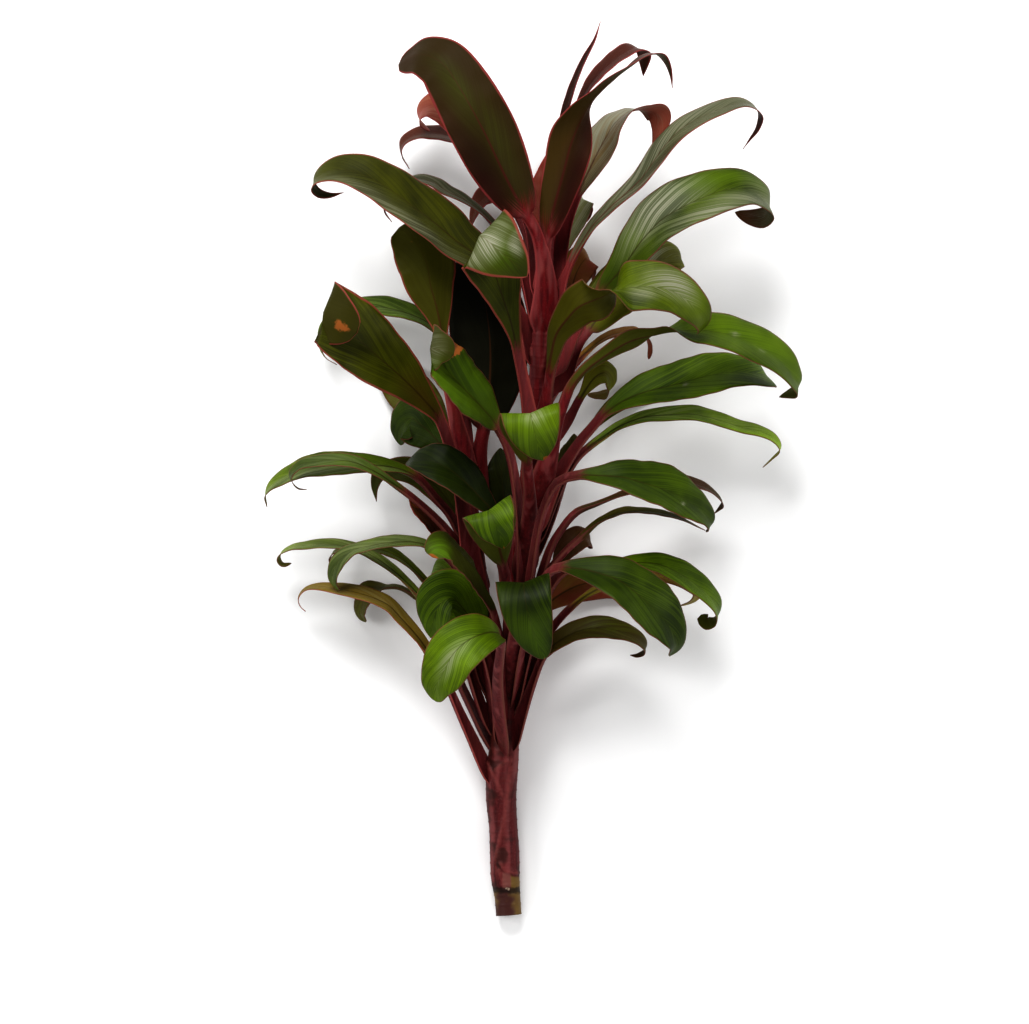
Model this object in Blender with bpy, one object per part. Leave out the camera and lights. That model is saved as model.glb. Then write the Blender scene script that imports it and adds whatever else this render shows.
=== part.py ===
"""A cut ti plant lying on a table: a cane with two shoots, red leaf stalks and long waved blades.

The plant lies along Y with its cut end towards -Y, Z points up and the table is Z = 0.
Each leaf is a rib that the stalk and the blade follow, so both meet in the same section.
Lengths are written in millimetres and made into metres when the meshes are built.
"""

import math
import random
from collections import namedtuple

import bmesh
import bpy
from mathutils import Quaternion, Vector

MM = 0.001
UP = Vector((0, 0, 1))

# The gap between a stalk's end and its blade
SEAM = 0.3

# Cane and shoots
CANE_SIDES = 12
MAIN_STATIONS = 16
SIDE_STATIONS = 8

# Leaf stalks: a shallow channel, widest where it clasps the shoot, and wider under a wider blade
CLASP_HALF_WIDTH = 6.0
CLASP_PER_WIDTH = 0.12
FOOT_HALF_WIDTH = 1.7
FOOT_PER_WIDTH = 0.055
CLASP_SHARE = 0.9
STALK_EDGE_LIFT = 1.6
STALK_EDGE_THICKNESS = 2.0
STALK_MID_THICKNESS = 3.4
STALK_STATIONS = 4

# Leaf blades: a fold along the midrib that opens towards the tip, and edges that wave a little
FOOT_FOLD = math.radians(17)
TIP_FOLD = math.radians(8)
EDGE_THICKNESS = 0.9
MIDRIB_THICKNESS = 2.2
TIP_HALF_WIDTH = 0.5
MIDRIB_FADE = 0.7
WAVE_PER_HALF_WIDTH = 0.045
WAVES = 2.5
WAVE_REACH = 0.3
BLADE_STATIONS = 12

# The share of the blade over which the stalk's section passes into its own, and how fast its foot narrows
FOOT_REACH = 0.25
FOOT_FALL = 6

# How finely a path is sampled before its stations are read from it: within each span, and along a rib
SPAN_SAMPLES = 16
RIB_SAMPLES = 120

# Colours: base colour and roughness
FINISHES = {
    "stalk": ((0.16, 0.018, 0.03), 0.42),
    "green": ((0.045, 0.15, 0.02), 0.36),
    "bronze": ((0.05, 0.055, 0.018), 0.36),
    "dusky": ((0.07, 0.11, 0.06), 0.32),
    "mottled": ((0.05, 0.09, 0.02), 0.38),
}

# A leaf: its name, its tone, the blade's full width, the share of the rib where the blade begins, the
# blade's shape, its facing, and the rib's points from the shoot to the tip. The shape is the share of the
# blade where it is widest, how slender its foot is and how slender its tip is. The facing is the way that
# the upper face turns, in degrees: 0 to the eye above, 90 to the left of the leaf's run and 180 away from
# the eye, or values at shares of the rib
Leaf = namedtuple("Leaf", "name tone width start shape facing points")

LEAVES = [
    # The tip of the main shoot
    Leaf("spear", "bronze", 8, 0.30, (0.5, 1.2, 1.1), 50,
         ((9, 157, 78), (13, 206, 86), (20, 244, 92), (25, 263, 97), (30, 277, 100), (36, 291, 103),
          (43, 304, 104), (47, 316, 105))),
    Leaf("crown_hook", "bronze", 20, 0.52, (0.5, 1.2, 0.9), 58,
         ((11, 149, 74), (16, 207, 76), (23, 235, 79), (30, 253, 82), (36, 267, 84), (44, 278, 86),
          (53, 287, 87), (62, 294, 87), (71, 299, 84), (77, 297, 76), (78, 290, 67), (78, 281, 58))),
    Leaf("crown_twist", "bronze", 32, 0.19, (0.42, 0.8, 1.15),
         ((0, 180), (0.42, 180), (0.64, 98), (1, 52)),
         ((9, 122, 80), (8, 149, 86), (10, 164, 92), (13, 179, 98), (17, 195, 104), (22, 213, 110),
          (26, 229, 114), (31, 243, 116), (37, 255, 117), (45, 265, 117), (56, 275, 116),
          (68, 284, 113), (79, 292, 108), (88, 293, 101), (94, 287, 94), (97, 279, 89),
          (98, 271, 84))),
    Leaf("crown_paddle", "bronze", 46, 0.36, (0.44, 0.68, 0.4), 180,
         ((6, 91, 78), (9, 122, 85), (8, 146, 90), (3, 167, 97), (-5, 182, 103), (-15, 199, 109),
          (-24, 217, 114), (-33, 236, 117), (-42, 253, 118), (-51, 269, 116), (-61, 284, 113),
          (-71, 291, 108), (-80, 293, 100), (-88, 290, 90), (-94, 287, 82))),
    Leaf("crown_sheen", "dusky", 30, 0.37, (0.46, 1, 0.9),
         ((0, 30), (0.55, 32), (0.79, 86), (0.88, 125), (1, 140)),
         ((13, 130, 70), (22, 168, 71), (32, 197, 74), (38, 211, 76), (45, 225, 78), (51, 236, 80),
          (58, 247, 81), (67, 254, 80), (75, 256, 78), (84, 255, 74), (89, 251, 70), (89, 244, 66),
          (87, 238, 62), (84, 232, 58))),
    # Leaves that lean right
    Leaf("right_reach", "dusky", 20, 0.14, (0.55, 0.8, 1.3), ((0, 46), (0.85, 48), (1, 56)),
         ((14, 115, 80), (27, 149, 83), (40, 172, 86), (52, 185, 89), (63, 195, 92), (75, 206, 95),
          (85, 220, 98), (93, 231, 99), (103, 241, 99), (116, 249, 98), (129, 255, 95), (144, 260, 90),
          (154, 258, 83), (160, 252, 75), (158, 243, 69), (153, 236, 65), (148, 229, 61))),
    Leaf("right_gloss", "green", 43, 0.26, (0.46, 0.95, 0.65), 36,
         ((12, 66, 80), (30, 101, 86), (41, 117, 90), (51, 131, 94), (63, 145, 98), (75, 162, 102),
          (89, 177, 105), (105, 187, 107), (121, 194, 106), (137, 199, 102), (151, 199, 96),
          (162, 193, 89), (166, 187, 82), (162, 181, 76), (152, 181, 73), (142, 184, 71))),
    Leaf("right_under", "green", 44, 0.35, (0.5, 0.66, 0.75), 22,
         ((13, 56, 72), (30, 89, 68), (42, 105, 66), (53, 121, 64), (66, 133, 62), (81, 145, 59),
          (95, 153, 55), (104, 153, 49), (105, 146, 42))),
    Leaf("right_turned", "green", 38, 0.26, (0.6, 0.8, 0.55),
         ((0, 168), (0.56, 160), (0.63, 90), (0.69, 22), (1, 16)),
         ((5, 16, 68), (8, 44, 84), (11, 66, 96), (14, 85, 108), (17, 98, 118), (24, 108, 130),
          (32, 116, 141), (43, 121, 148), (52, 125, 153), (63, 128, 155), (74, 129, 156),
          (85, 129, 156), (97, 126, 152), (108, 119, 146), (116, 111, 139), (118, 103, 132),
          (114, 97, 127))),
    Leaf("right_long", "green", 38, 0.31, (0.66, 0.85, 0.8),
         ((0, 150), (0.48, 145), (0.57, 95), (0.65, 45), (1, 42)),
         ((0, -26, 60), (9, 3, 78), (16, 31, 90), (22, 50, 97), (27, 62, 101), (36, 73, 105),
          (48, 82, 108), (61, 90, 110), (72, 95, 112), (84, 98, 113), (95, 100, 113), (107, 100, 113),
          (120, 100, 112), (134, 98, 110), (146, 94, 107), (159, 88, 104), (172, 80, 100),
          (181, 70, 95), (186, 61, 88), (180, 57, 82), (173, 54, 78))),
    Leaf("right_flat", "green", 39, 0.44, (0.5, 1, 0.25), 43,
         ((-2, -50, 54), (10, -20, 64), (20, 2, 68), (32, 21, 69), (42, 33, 70), (51, 43, 71),
          (64, 52, 72), (79, 58, 73), (95, 62, 74), (110, 66, 74), (126, 70, 73), (140, 72, 70),
          (153, 72, 65), (161, 71, 58), (165, 70, 50), (166, 67, 43))),
    Leaf("right_slim", "green", 16, 0.34, (0.5, 1.1, 0.7), 48,
         ((-2, -57, 53), (9, -31, 57), (20, -7, 57), (30, 10, 56), (39, 19, 55), (50, 27, 54),
          (61, 34, 54), (76, 40, 54), (90, 42, 54), (111, 43, 54), (122, 41, 53), (133, 38, 51),
          (146, 34, 50), (159, 31, 48), (170, 26, 45), (175, 18, 40), (169, 11, 36), (163, 5, 33))),
    Leaf("right_broad", "green", 42, 0.63, (0.55, 0.9, 0.65), 44,
         ((-13, -154, 29), (-8, -117, 58), (-3, -80, 82), (3, -40, 99), (10, -17, 108), (18, -5, 114),
          (32, -1, 118), (47, -1, 121), (62, -2, 122), (76, -6, 120), (92, -11, 116), (107, -18, 111),
          (119, -27, 105), (124, -35, 101), (121, -40, 97))),
    Leaf("right_behind", "green", 17, 0.46, (0.6, 1.5, 1), 60,
         ((-9, -120, 37), (1, -90, 52), (11, -55, 60), (21, -37, 62), (31, -26, 63), (45, -20, 64),
          (59, -15, 65), (73, -11, 65), (89, -7, 63), (106, -5, 60), (119, -8, 56), (128, -13, 52),
          (134, -20, 48), (132, -24, 44), (128, -28, 41))),
    Leaf("right_thread", "green", 14, 0.55, (0.5, 1, 0.9), 70,
         ((-11, -142, 32), (-2, -104, 56), (9, -71, 72), (22, -54, 79), (34, -43, 83), (44, -34, 86),
          (54, -29, 88), (64, -26, 88), (75, -26, 87), (88, -27, 86), (103, -31, 83), (121, -39, 79))),
    Leaf("right_low", "green", 43, 0.56, (0.56, 0.75, 0.65), 38,
         ((-15, -168, 25), (-9, -127, 60), (-2, -96, 90), (5, -77, 106), (12, -68, 114),
          (20, -65, 119), (33, -66, 123), (46, -69, 126), (60, -74, 128), (72, -83, 127),
          (84, -94, 125), (95, -106, 121), (100, -118, 116), (95, -127, 112))),
    Leaf("right_curl", "green", 25, 0.45, (0.62, 1.2, 0.6), 45,
         ((-15, -173, 24), (-6, -134, 50), (4, -101, 64), (13, -79, 70), (23, -68, 73), (39, -64, 75),
          (55, -64, 76), (72, -62, 76), (88, -63, 75), (102, -69, 73), (113, -76, 69), (124, -85, 64),
          (130, -94, 58), (130, -101, 52), (125, -105, 47), (120, -102, 43), (124, -99, 41))),
    Leaf("right_tuck", "green", 18, 0.44, (0.6, 1.2, 0.4), 25,
         ((-15, -175, 23), (-3, -141, 35), (10, -115, 40), (23, -98, 42), (40, -84, 43), (62, -74, 42),
          (83, -68, 40), (98, -70, 38), (111, -76, 35), (117, -82, 32), (114, -89, 29),
          (105, -93, 27))),
    Leaf("right_foot", "green", 20, 0.45, (0.42, 0.8, 0.8), 42,
         ((-17, -200, 18), (-7, -168, 38), (1, -144, 48), (7, -129, 52), (16, -119, 54),
          (30, -111, 55), (46, -108, 56), (61, -110, 55), (72, -114, 52), (79, -120, 47),
          (79, -125, 42), (74, -128, 38), (69, -128, 36))),
    Leaf("back_slip", "green", 18, 0.66, (0.5, 1, 0.7), 40,
         ((-6, -67, 50), (12, -33, 46), (21, -7, 44), (25, 10, 43), (28, 21, 41), (29, 29, 38))),
    # Leaves that come up towards the eye and hang over
    Leaf("front_tongue", "green", 38, 0.46, (0.5, 0.7, 0.55), 0,
         ((-14, -163, 26), (-13, -127, 62), (-12, -103, 94), (-11, -88, 120), (-8, -78, 142),
          (-7, -75, 158), (-6, -83, 168), (-4, -95, 170), (1, -112, 163), (8, -128, 150))),
    Leaf("front_lobe", "green", 37, 0.61, (0.52, 0.8, 0.55), -12,
         ((-20, -208, 16), (-24, -172, 44), (-25, -144, 76), (-23, -124, 104), (-22, -114, 124),
          (-25, -110, 139), (-33, -110, 150), (-45, -115, 158), (-55, -124, 161), (-61, -135, 158),
          (-67, -147, 150), (-67, -158, 141))),
    Leaf("front_flag", "green", 42, 0.55, (0.52, 0.8, 0.75), 0,
         ((-8, -83, 46), (-3, -47, 76), (-2, -18, 104), (-4, 6, 122), (-4, 24, 139), (-4, 37, 156),
          (-2, 42, 167), (-1, 37, 173), (1, 28, 171), (4, 18, 163), (7, 9, 152))),
    Leaf("front_fold", "mottled", 52, 0.45, (0.62, 0.8, 0.75), 180,
         ((-2, -19, 60), (-1, 17, 80), (-4, 48, 95), (-10, 80, 105), (-15, 104, 114), (-22, 126, 124),
          (-29, 146, 135), (-35, 160, 145), (-37, 164, 152), (-33, 162, 159), (-24, 154, 162),
          (-13, 145, 161), (-4, 136, 158))),
    Leaf("left_bright", "green", 50, 0.63, (0.47, 0.75, 0.5), 180,
         ((-12, -118, 37), (-8, -74, 64), (-10, -25, 88), (-16, 13, 101), (-25, 33, 110),
          (-36, 47, 118), (-49, 60, 127), (-59, 71, 134), (-67, 81, 140), (-71, 86, 146),
          (-67, 86, 152), (-61, 85, 154), (-55, 82, 153))),
    Leaf("front_nick", "green", 38, 0.57, (0.52, 0.8, 0.75), 0,
         ((-15, -154, 29), (-14, -117, 60), (-17, -82, 92), (-22, -60, 114), (-26, -42, 131),
          (-29, -30, 145), (-31, -25, 154), (-29, -28, 160), (-26, -36, 162), (-22, -44, 158),
          (-20, -52, 151))),
    # Leaves of the main shoot that lean left
    Leaf("left_sweep", "mottled", 43, 0.24, (0.42, 0.9, 1.1), -40,
         ((4, 70, 72), (-6, 105, 69), (-17, 127, 73), (-27, 142, 77), (-40, 154, 82), (-53, 163, 86),
          (-66, 174, 90), (-85, 188, 94), (-103, 201, 97), (-120, 210, 98), (-136, 213, 95),
          (-148, 210, 89), (-154, 204, 82), (-151, 198, 76), (-143, 196, 72), (-133, 198, 70))),
    Leaf("left_grey", "dusky", 15, 0.39, (0.5, 1.4, 1.1), -54,
         ((6, 91, 70), (-10, 150, 60), (-20, 167, 58), (-28, 177, 56), (-37, 186, 55), (-49, 194, 53),
          (-61, 200, 51), (-70, 206, 49), (-82, 209, 46), (-95, 205, 42), (-103, 196, 36),
          (-105, 187, 31), (-100, 179, 27))),
    Leaf("left_red_curl", "bronze", 28, 0.50, (0.5, 1.2, 0.55), ((0, -40), (0.6, -36), (1, -10)),
         ((6, 112, 72), (-1, 169, 62), (-17, 202, 62), (-37, 230, 60), (-52, 248, 57), (-63, 258, 53),
          (-72, 261, 48), (-79, 257, 42), (-80, 250, 37), (-73, 243, 33))),
    Leaf("left_red_arc", "bronze", 23, 0.48, (0.5, 1.2, 0.7), ((0, -64), (0.5, -60), (1, -50)),
         ((6, 105, 68), (-2, 162, 46), (-22, 203, 39), (-44, 230, 36), (-57, 239, 34), (-71, 242, 32),
          (-83, 241, 30), (-92, 235, 28), (-93, 227, 24), (-88, 217, 20))),
    Leaf("left_small", "bronze", 19, 0.60, (0.55, 1.2, 0.8), -14,
         ((6, 98, 66), (-1, 148, 40), (-6, 175, 32), (-13, 192, 29), (-22, 199, 26), (-31, 199, 23),
          (-38, 194, 19), (-42, 186, 15), (-45, 175, 12))),
    # Leaves of the side shoot
    Leaf("side_tall", "mottled", 41, 0.46, (0.72, 1.1, 0.3), 176,
         ((-44, -21, 43), (-51, 23, 56), (-59, 61, 62), (-63, 91, 66), (-67, 114, 69), (-72, 133, 71),
          (-75, 149, 71), (-83, 164, 67), (-94, 174, 60))),
    Leaf("side_shade", "mottled", 56, 0.28, (0.5, 0.65, 0.7), 180,
         ((-44, -21, 46), (-39, 10, 45), (-32, 49, 46), (-30, 88, 46), (-34, 123, 46), (-42, 150, 43),
          (-49, 165, 36))),
    Leaf("side_slip", "green", 24, 0.40, (0.45, 1, 1.2), -54,
         ((-46, -4, 44), (-50, 59, 35), (-57, 86, 31), (-64, 98, 31), (-73, 107, 31), (-85, 113, 31),
          (-98, 117, 32), (-110, 119, 33), (-122, 118, 34), (-134, 114, 33), (-144, 108, 31),
          (-150, 100, 28), (-151, 91, 25), (-147, 83, 23), (-139, 78, 21))),
    Leaf("side_paddle", "mottled", 52, 0.53, (0.62, 0.68, 0.4), 163,
         ((-36, -117, 31), (-42, -74, 54), (-49, -26, 68), (-56, 9, 77), (-65, 37, 86), (-77, 53, 93),
          (-91, 67, 101), (-106, 80, 109), (-121, 93, 116), (-133, 102, 122), (-143, 110, 127),
          (-145, 112, 133), (-138, 107, 137), (-130, 102, 138), (-122, 98, 136))),
    Leaf("side_droop", "green", 34, 0.52, (0.5, 1, 0.6), 0,
         ((-44, -46, 42), (-49, -11, 35), (-56, 10, 33), (-65, 21, 31), (-73, 30, 29), (-80, 36, 28),
          (-86, 40, 26), (-91, 37, 23), (-94, 30, 19), (-94, 21, 16))),
    Leaf("side_broad", "green", 33, 0.55, (0.55, 0.8, 0.7), -32,
         ((-12, -125, 35), (-18, -88, 56), (-23, -54, 74), (-28, -28, 86), (-38, -15, 94),
          (-50, -3, 100), (-61, 5, 102), (-72, 10, 100), (-82, 11, 93), (-89, 8, 84))),
    Leaf("side_long", "green", 25, 0.47, (0.5, 1.1, 0.8), -48,
         ((-37, -99, 34), (-42, -66, 46), (-50, -45, 53), (-58, -29, 58), (-68, -17, 63),
          (-79, -4, 67), (-91, 3, 71), (-105, 6, 74), (-118, 7, 75), (-132, 7, 75), (-146, 6, 74),
          (-161, 4, 70), (-174, -1, 64), (-184, -7, 57), (-189, -14, 50), (-188, -23, 45))),
    Leaf("side_slim", "green", 13, 0.56, (0.5, 1.1, 1.1), -45,
         ((-35, -124, 29), (-43, -83, 48), (-51, -54, 61), (-60, -40, 68), (-72, -27, 76),
          (-86, -15, 83), (-97, -7, 87), (-109, 1, 90), (-124, 8, 92), (-138, 10, 92), (-152, 9, 91),
          (-162, 7, 89), (-169, 1, 87), (-169, -5, 83), (-165, -10, 78), (-159, -11, 75))),
    Leaf("side_dark", "green", 21, 0.33, (0.45, 0.9, 1), -12,
         ((-37, -89, 34), (-40, -60, 31), (-43, -44, 29), (-49, -32, 28), (-58, -21, 28),
          (-68, -9, 29), (-81, 1, 30), (-95, 4, 30), (-108, 1, 28), (-112, -8, 25), (-111, -19, 21))),
    Leaf("side_brown", "bronze", 24, 0.50, (0.6, 1, 0.75), -62,
         ((-37, -103, 32), (-49, -77, 41), (-57, -59, 45), (-64, -46, 48), (-72, -35, 50),
          (-80, -25, 49), (-87, -16, 46))),
    Leaf("side_cupped", "green", 34, 0.57, (0.6, 0.55, 0.4), 168,
         ((-19, -186, 21), (-22, -145, 50), (-23, -120, 66), (-27, -101, 78), (-32, -86, 90),
          (-38, -72, 101), (-46, -61, 110), (-54, -53, 118), (-61, -50, 124), (-67, -53, 128),
          (-70, -58, 129))),
    # Low leaves on the left
    Leaf("low_arch", "green", 15, 0.50, (0.5, 0.7, 0.4),
         ((0, -52), (0.5, -54), (0.78, -56), (0.9, -14), (1, -10)),
         ((-33, -138, 26), (-41, -97, 50), (-50, -72, 60), (-60, -58, 66), (-69, -52, 69),
          (-80, -48, 72), (-91, -47, 73), (-103, -48, 73), (-114, -50, 71), (-126, -53, 68),
          (-135, -59, 64), (-140, -67, 59), (-141, -75, 54), (-137, -82, 50))),
    Leaf("low_whip", "green", 14, 0.47, (0.5, 0.8, 0.6), -60,
         ((-25, -194, 15), (-37, -163, 25), (-47, -133, 34), (-57, -110, 42), (-66, -98, 45),
          (-76, -90, 47), (-86, -79, 49), (-99, -67, 50), (-112, -58, 50), (-123, -53, 49),
          (-135, -50, 48), (-148, -49, 47), (-160, -50, 45), (-170, -51, 41), (-178, -55, 36),
          (-180, -60, 32), (-177, -64, 30), (-171, -63, 29))),
    Leaf("low_thread", "green", 14, 0.49, (0.5, 1, 0.7), -62,
         ((-32, -160, 20), (-44, -123, 29), (-59, -97, 32), (-72, -80, 33), (-83, -68, 34),
          (-94, -59, 34), (-105, -54, 33), (-118, -52, 32), (-131, -53, 30), (-140, -54, 27),
          (-144, -59, 23), (-143, -65, 20))),
    Leaf("low_bronze", "mottled", 15, 0.47, (0.45, 0.65, 1.3), -48,
         ((-21, -231, 11), (-33, -210, 17), (-43, -188, 25), (-52, -168, 32), (-59, -152, 37),
          (-68, -137, 41), (-76, -122, 43), (-85, -110, 46), (-93, -101, 48), (-102, -92, 49),
          (-115, -86, 49), (-129, -82, 48), (-140, -80, 45), (-152, -79, 40), (-161, -81, 36),
          (-166, -87, 33), (-165, -93, 31), (-161, -97, 30))),
    Leaf("low_tip", "green", 20, 0.66, (0.6, 1.2, 0.5), ((0, -76), (0.79, -76), (0.89, -25), (1, -20)),
         ((-25, -205, 14), (-41, -170, 21), (-52, -146, 26), (-62, -117, 26), (-72, -95, 25),
          (-84, -85, 24), (-96, -80, 23), (-108, -81, 21), (-118, -85, 18), (-122, -92, 14),
          (-123, -99, 11), (-119, -105, 9))),
    Leaf("low_cup", "green", 42, 0.50, (0.5, 0.8, 0.8), -10,
         ((-21, -197, 18), (-26, -156, 40), (-34, -125, 56), (-42, -105, 67), (-50, -93, 75),
          (-57, -87, 80), (-64, -90, 81), (-69, -99, 77), (-72, -115, 67))),
    Leaf("low_small", "green", 22, 0.57, (0.5, 1, 0.6), -30,
         ((-32, -154, 22), (-38, -117, 22), (-45, -93, 23), (-53, -79, 24), (-61, -68, 24),
          (-68, -65, 22), (-72, -70, 17))),
    # Leaves behind the shoots
    Leaf("back_thorn", "green", 14, 0.39, (0.5, 1.1, 0.5), 60,
         ((5, 44, 70), (18, 63, 58), (33, 82, 51), (43, 91, 48), (54, 98, 46), (66, 101, 44),
          (75, 102, 41), (81, 97, 37), (83, 90, 32), (82, 82, 27))),
    Leaf("back_hook", "green", 22, 0.48, (0.6, 1, 0.6), 12,
         ((1, 14, 64), (23, 36, 50), (33, 53, 40), (43, 68, 34), (51, 72, 31), (55, 66, 27),
          (54, 59, 23), (47, 57, 20), (39, 57, 17))),
    Leaf("back_grey", "dusky", 26, 0.40, (0.55, 1, 0.75), 20,
         ((8, 112, 76), (15, 133, 66), (21, 157, 54), (27, 180, 48), (33, 195, 43), (38, 191, 37),
          (38, 179, 31))),
    Leaf("back_green", "green", 26, 0.42, (0.55, 1, 0.75), 20,
         ((7, 84, 74), (17, 105, 58), (25, 123, 48), (31, 143, 42), (38, 153, 38), (42, 148, 33),
          (43, 136, 28))),
    Leaf("back_drop", "green", 20, 0.52, (0.6, 1, 0.6), 20,
         ((-10, -124, 36), (4, -92, 40), (14, -72, 36), (21, -57, 32), (28, -48, 30), (36, -44, 27),
          (41, -47, 22), (39, -51, 17))),
    Leaf("back_veined", "green", 25, 0.46, (0.5, 0.9, 0.75), 0,
         ((-12, -74, 44), (-16, -46, 41), (-20, -21, 41), (-22, 0, 40), (-23, 19, 37))),
    # Leaves that the plant lies on
    Leaf("table_left", "green", 33, 0.35, (0.5, 1, 0.75), 0,
         ((-47, -4, 40), (-53, 13, 26), (-62, 29, 16), (-73, 44, 10), (-87, 58, 5), (-100, 72, 3),
          (-114, 86, 2))),
    Leaf("table_right", "green", 14, 0.33, (0.6, 1.6, 0.75), 0,
         ((0, -17, 57), (10, 1, 42), (26, 18, 26), (41, 33, 14), (59, 50, 7), (80, 60, 3),
          (112, 69, 2))),
    Leaf("table_top", "bronze", 30, 0.40, (0.5, 1, 0.75), 0,
         ((8, 112, 72), (9, 150, 44), (9, 183, 14), (16, 213, 5), (24, 244, 2))),
    Leaf("table_low", "green", 26, 0.40, (0.5, 1, 0.75), 0,
         ((-15, -149, 30), (-5, -121, 18), (7, -96, 8), (27, -81, 4), (48, -76, 3), (66, -81, 2),
          (81, -92, 2))),
]

# The axes of the main shoot and of the side shoot, from the cut end up, with the radius at each point
MAIN_AXIS = [
    (-17, -313, 8, 9.2), (-18, -300, 8, 9.3), (-19.5, -285, 9, 10.3), (-20, -268, 9.6, 10.6),
    (-21, -250, 9.8, 10.2), (-22.5, -228, 12, 10.8), (-21, -200, 17, 10.8), (-16, -144, 29, 8.4),
    (-10, -88, 45, 7.6), (-4, -18, 62, 6.9), (2, 52, 72, 6.3), (7, 122, 78, 5.8), (10, 171, 79, 5.5),
]
SIDE_AXIS = [
    (-20, -221, 13, 7), (-27, -158, 20, 6.5), (-34, -102, 30, 6), (-41, -46, 40, 5.5), (-48, 10, 48, 5),
    (-55, 52, 54, 4.5),
]


def clear_scene():
    for obj in list(bpy.data.objects):
        bpy.data.objects.remove(obj)


def finish(name, key):
    """A plain material in the colour and roughness of the key."""
    colour, roughness = FINISHES[key]
    material = bpy.data.materials.new(name)
    material.use_nodes = True
    shader = material.node_tree.nodes["Principled BSDF"]
    shader.inputs["Base Color"].default_value = (*colour, 1)
    shader.inputs["Roughness"].default_value = roughness
    shader.inputs["Metallic"].default_value = 0
    material.diffuse_color = (*colour, 1)
    return material


def smooth_path(points, samples):
    """Points at even distances along a smooth curve through the given ones, and the curve's length."""
    knots = [Vector(p) for p in points]
    knots = [2 * knots[0] - knots[1], *knots, 2 * knots[-1] - knots[-2]]
    fine = []
    for a, b, c, d in zip(knots, knots[1:], knots[2:], knots[3:]):
        for k in range(SPAN_SAMPLES):
            t = k / SPAN_SAMPLES
            bow = 2 * a - 5 * b + 4 * c - d
            twist = 3 * b - a - 3 * c + d
            fine.append(0.5 * (2 * b + (c - a) * t + bow * t**2 + twist * t**3))
    fine.append(knots[-2])
    run = [0.0]
    for p, q in zip(fine, fine[1:]):
        run.append(run[-1] + (q - p).length)
    even, at = [], 0
    for k in range(samples + 1):
        want = run[-1] * k / samples
        while at < len(run) - 2 and run[at + 1] < want:
            at += 1
        step = run[at + 1] - run[at]
        even.append(fine[at].lerp(fine[at + 1], min(max((want - run[at]) / step, 0), 1)))
    return even, run[-1]


class Rib:
    """A leaf's midrib: where it runs, and which way the leaf's side and upper face point along it."""

    def __init__(self, leaf):
        self.points, self.length = smooth_path(leaf.points, RIB_SAMPLES)
        last = RIB_SAMPLES
        ahead = [self.points[min(i + 1, last)] for i in range(last + 1)]
        behind = [self.points[max(i - 1, 0)] for i in range(last + 1)]
        self.ways = [(to - fro).normalized() for to, fro in zip(ahead, behind)]
        # The facing is counted from the blade's crest, where the rib runs level
        crest = max(range(round(last * leaf.start), last), key=lambda i: self.points[i].z)
        way = self.ways[crest]
        flat = {crest: (UP - way * way.z).normalized()}
        for i in range(crest + 1, last + 1):
            flat[i] = self.ways[i - 1].rotation_difference(self.ways[i]) @ flat[i - 1]
        for i in range(crest - 1, -1, -1):
            flat[i] = self.ways[i + 1].rotation_difference(self.ways[i]) @ flat[i + 1]
        self.normals = []
        for i, way in enumerate(self.ways):
            roll = -math.radians(facing_at(leaf, i / last))
            self.normals.append(Quaternion(way, roll) @ flat[i])

    def at(self, share):
        """The point, the sideways direction and the upper face's normal at this share of the length."""
        place = min(max(share, 0), 1) * RIB_SAMPLES
        i = min(int(place), RIB_SAMPLES - 1)
        part = place - i
        point = self.points[i].lerp(self.points[i + 1], part)
        way = self.ways[i].lerp(self.ways[i + 1], part).normalized()
        normal = self.normals[i].lerp(self.normals[i + 1], part)
        normal = (normal - way * normal.dot(way)).normalized()
        return point, normal.cross(way), normal


def smoothstep(x):
    x = min(max(x, 0), 1)
    return x * x * (3 - 2 * x)


def facing_at(leaf, share):
    """The leaf's facing in degrees at this share of its rib."""
    if not isinstance(leaf.facing, tuple):
        return leaf.facing
    for (before, here), (after, there) in zip(leaf.facing, leaf.facing[1:]):
        if share <= after:
            return here + (there - here) * smoothstep((share - before) / (after - before))
    return leaf.facing[-1][1]


def foot_half_width(leaf):
    return FOOT_HALF_WIDTH + FOOT_PER_WIDTH * leaf.width


def stalk_section(leaf, share_of_stalk):
    """Half width, the edges' lift over the middle, and the thickness at the edges and in the middle."""
    clasp = 1 - smoothstep(share_of_stalk / CLASP_SHARE)
    wide = CLASP_HALF_WIDTH + CLASP_PER_WIDTH * leaf.width
    half = foot_half_width(leaf) + (wide - foot_half_width(leaf)) * clasp
    return half, STALK_EDGE_LIFT, STALK_EDGE_THICKNESS, STALK_MID_THICKNESS


def blade_section(leaf, u):
    """The same four sizes at the share u of the blade."""
    widest, slender, pointed = leaf.shape
    bend = math.log(0.5) / math.log(widest)
    belly = math.sin(math.pi * u**bend) ** (slender + (pointed - slender) * u)
    half = max(leaf.width / 2 * belly + foot_half_width(leaf) * (1 - u) ** FOOT_FALL, TIP_HALF_WIDTH)
    fold = FOOT_FOLD + (TIP_FOLD - FOOT_FOLD) * u
    foot = 1 - smoothstep(u / FOOT_REACH)
    lift = half * math.sin(fold) * (1 - foot) + STALK_EDGE_LIFT * foot
    edge = EDGE_THICKNESS + (STALK_EDGE_THICKNESS - EDGE_THICKNESS) * foot
    fade = smoothstep(u / MIDRIB_FADE)
    middle = MIDRIB_THICKNESS + (EDGE_THICKNESS - MIDRIB_THICKNESS) * fade
    middle += (STALK_MID_THICKNESS - MIDRIB_THICKNESS) * foot
    return half, lift, edge, middle


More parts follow.
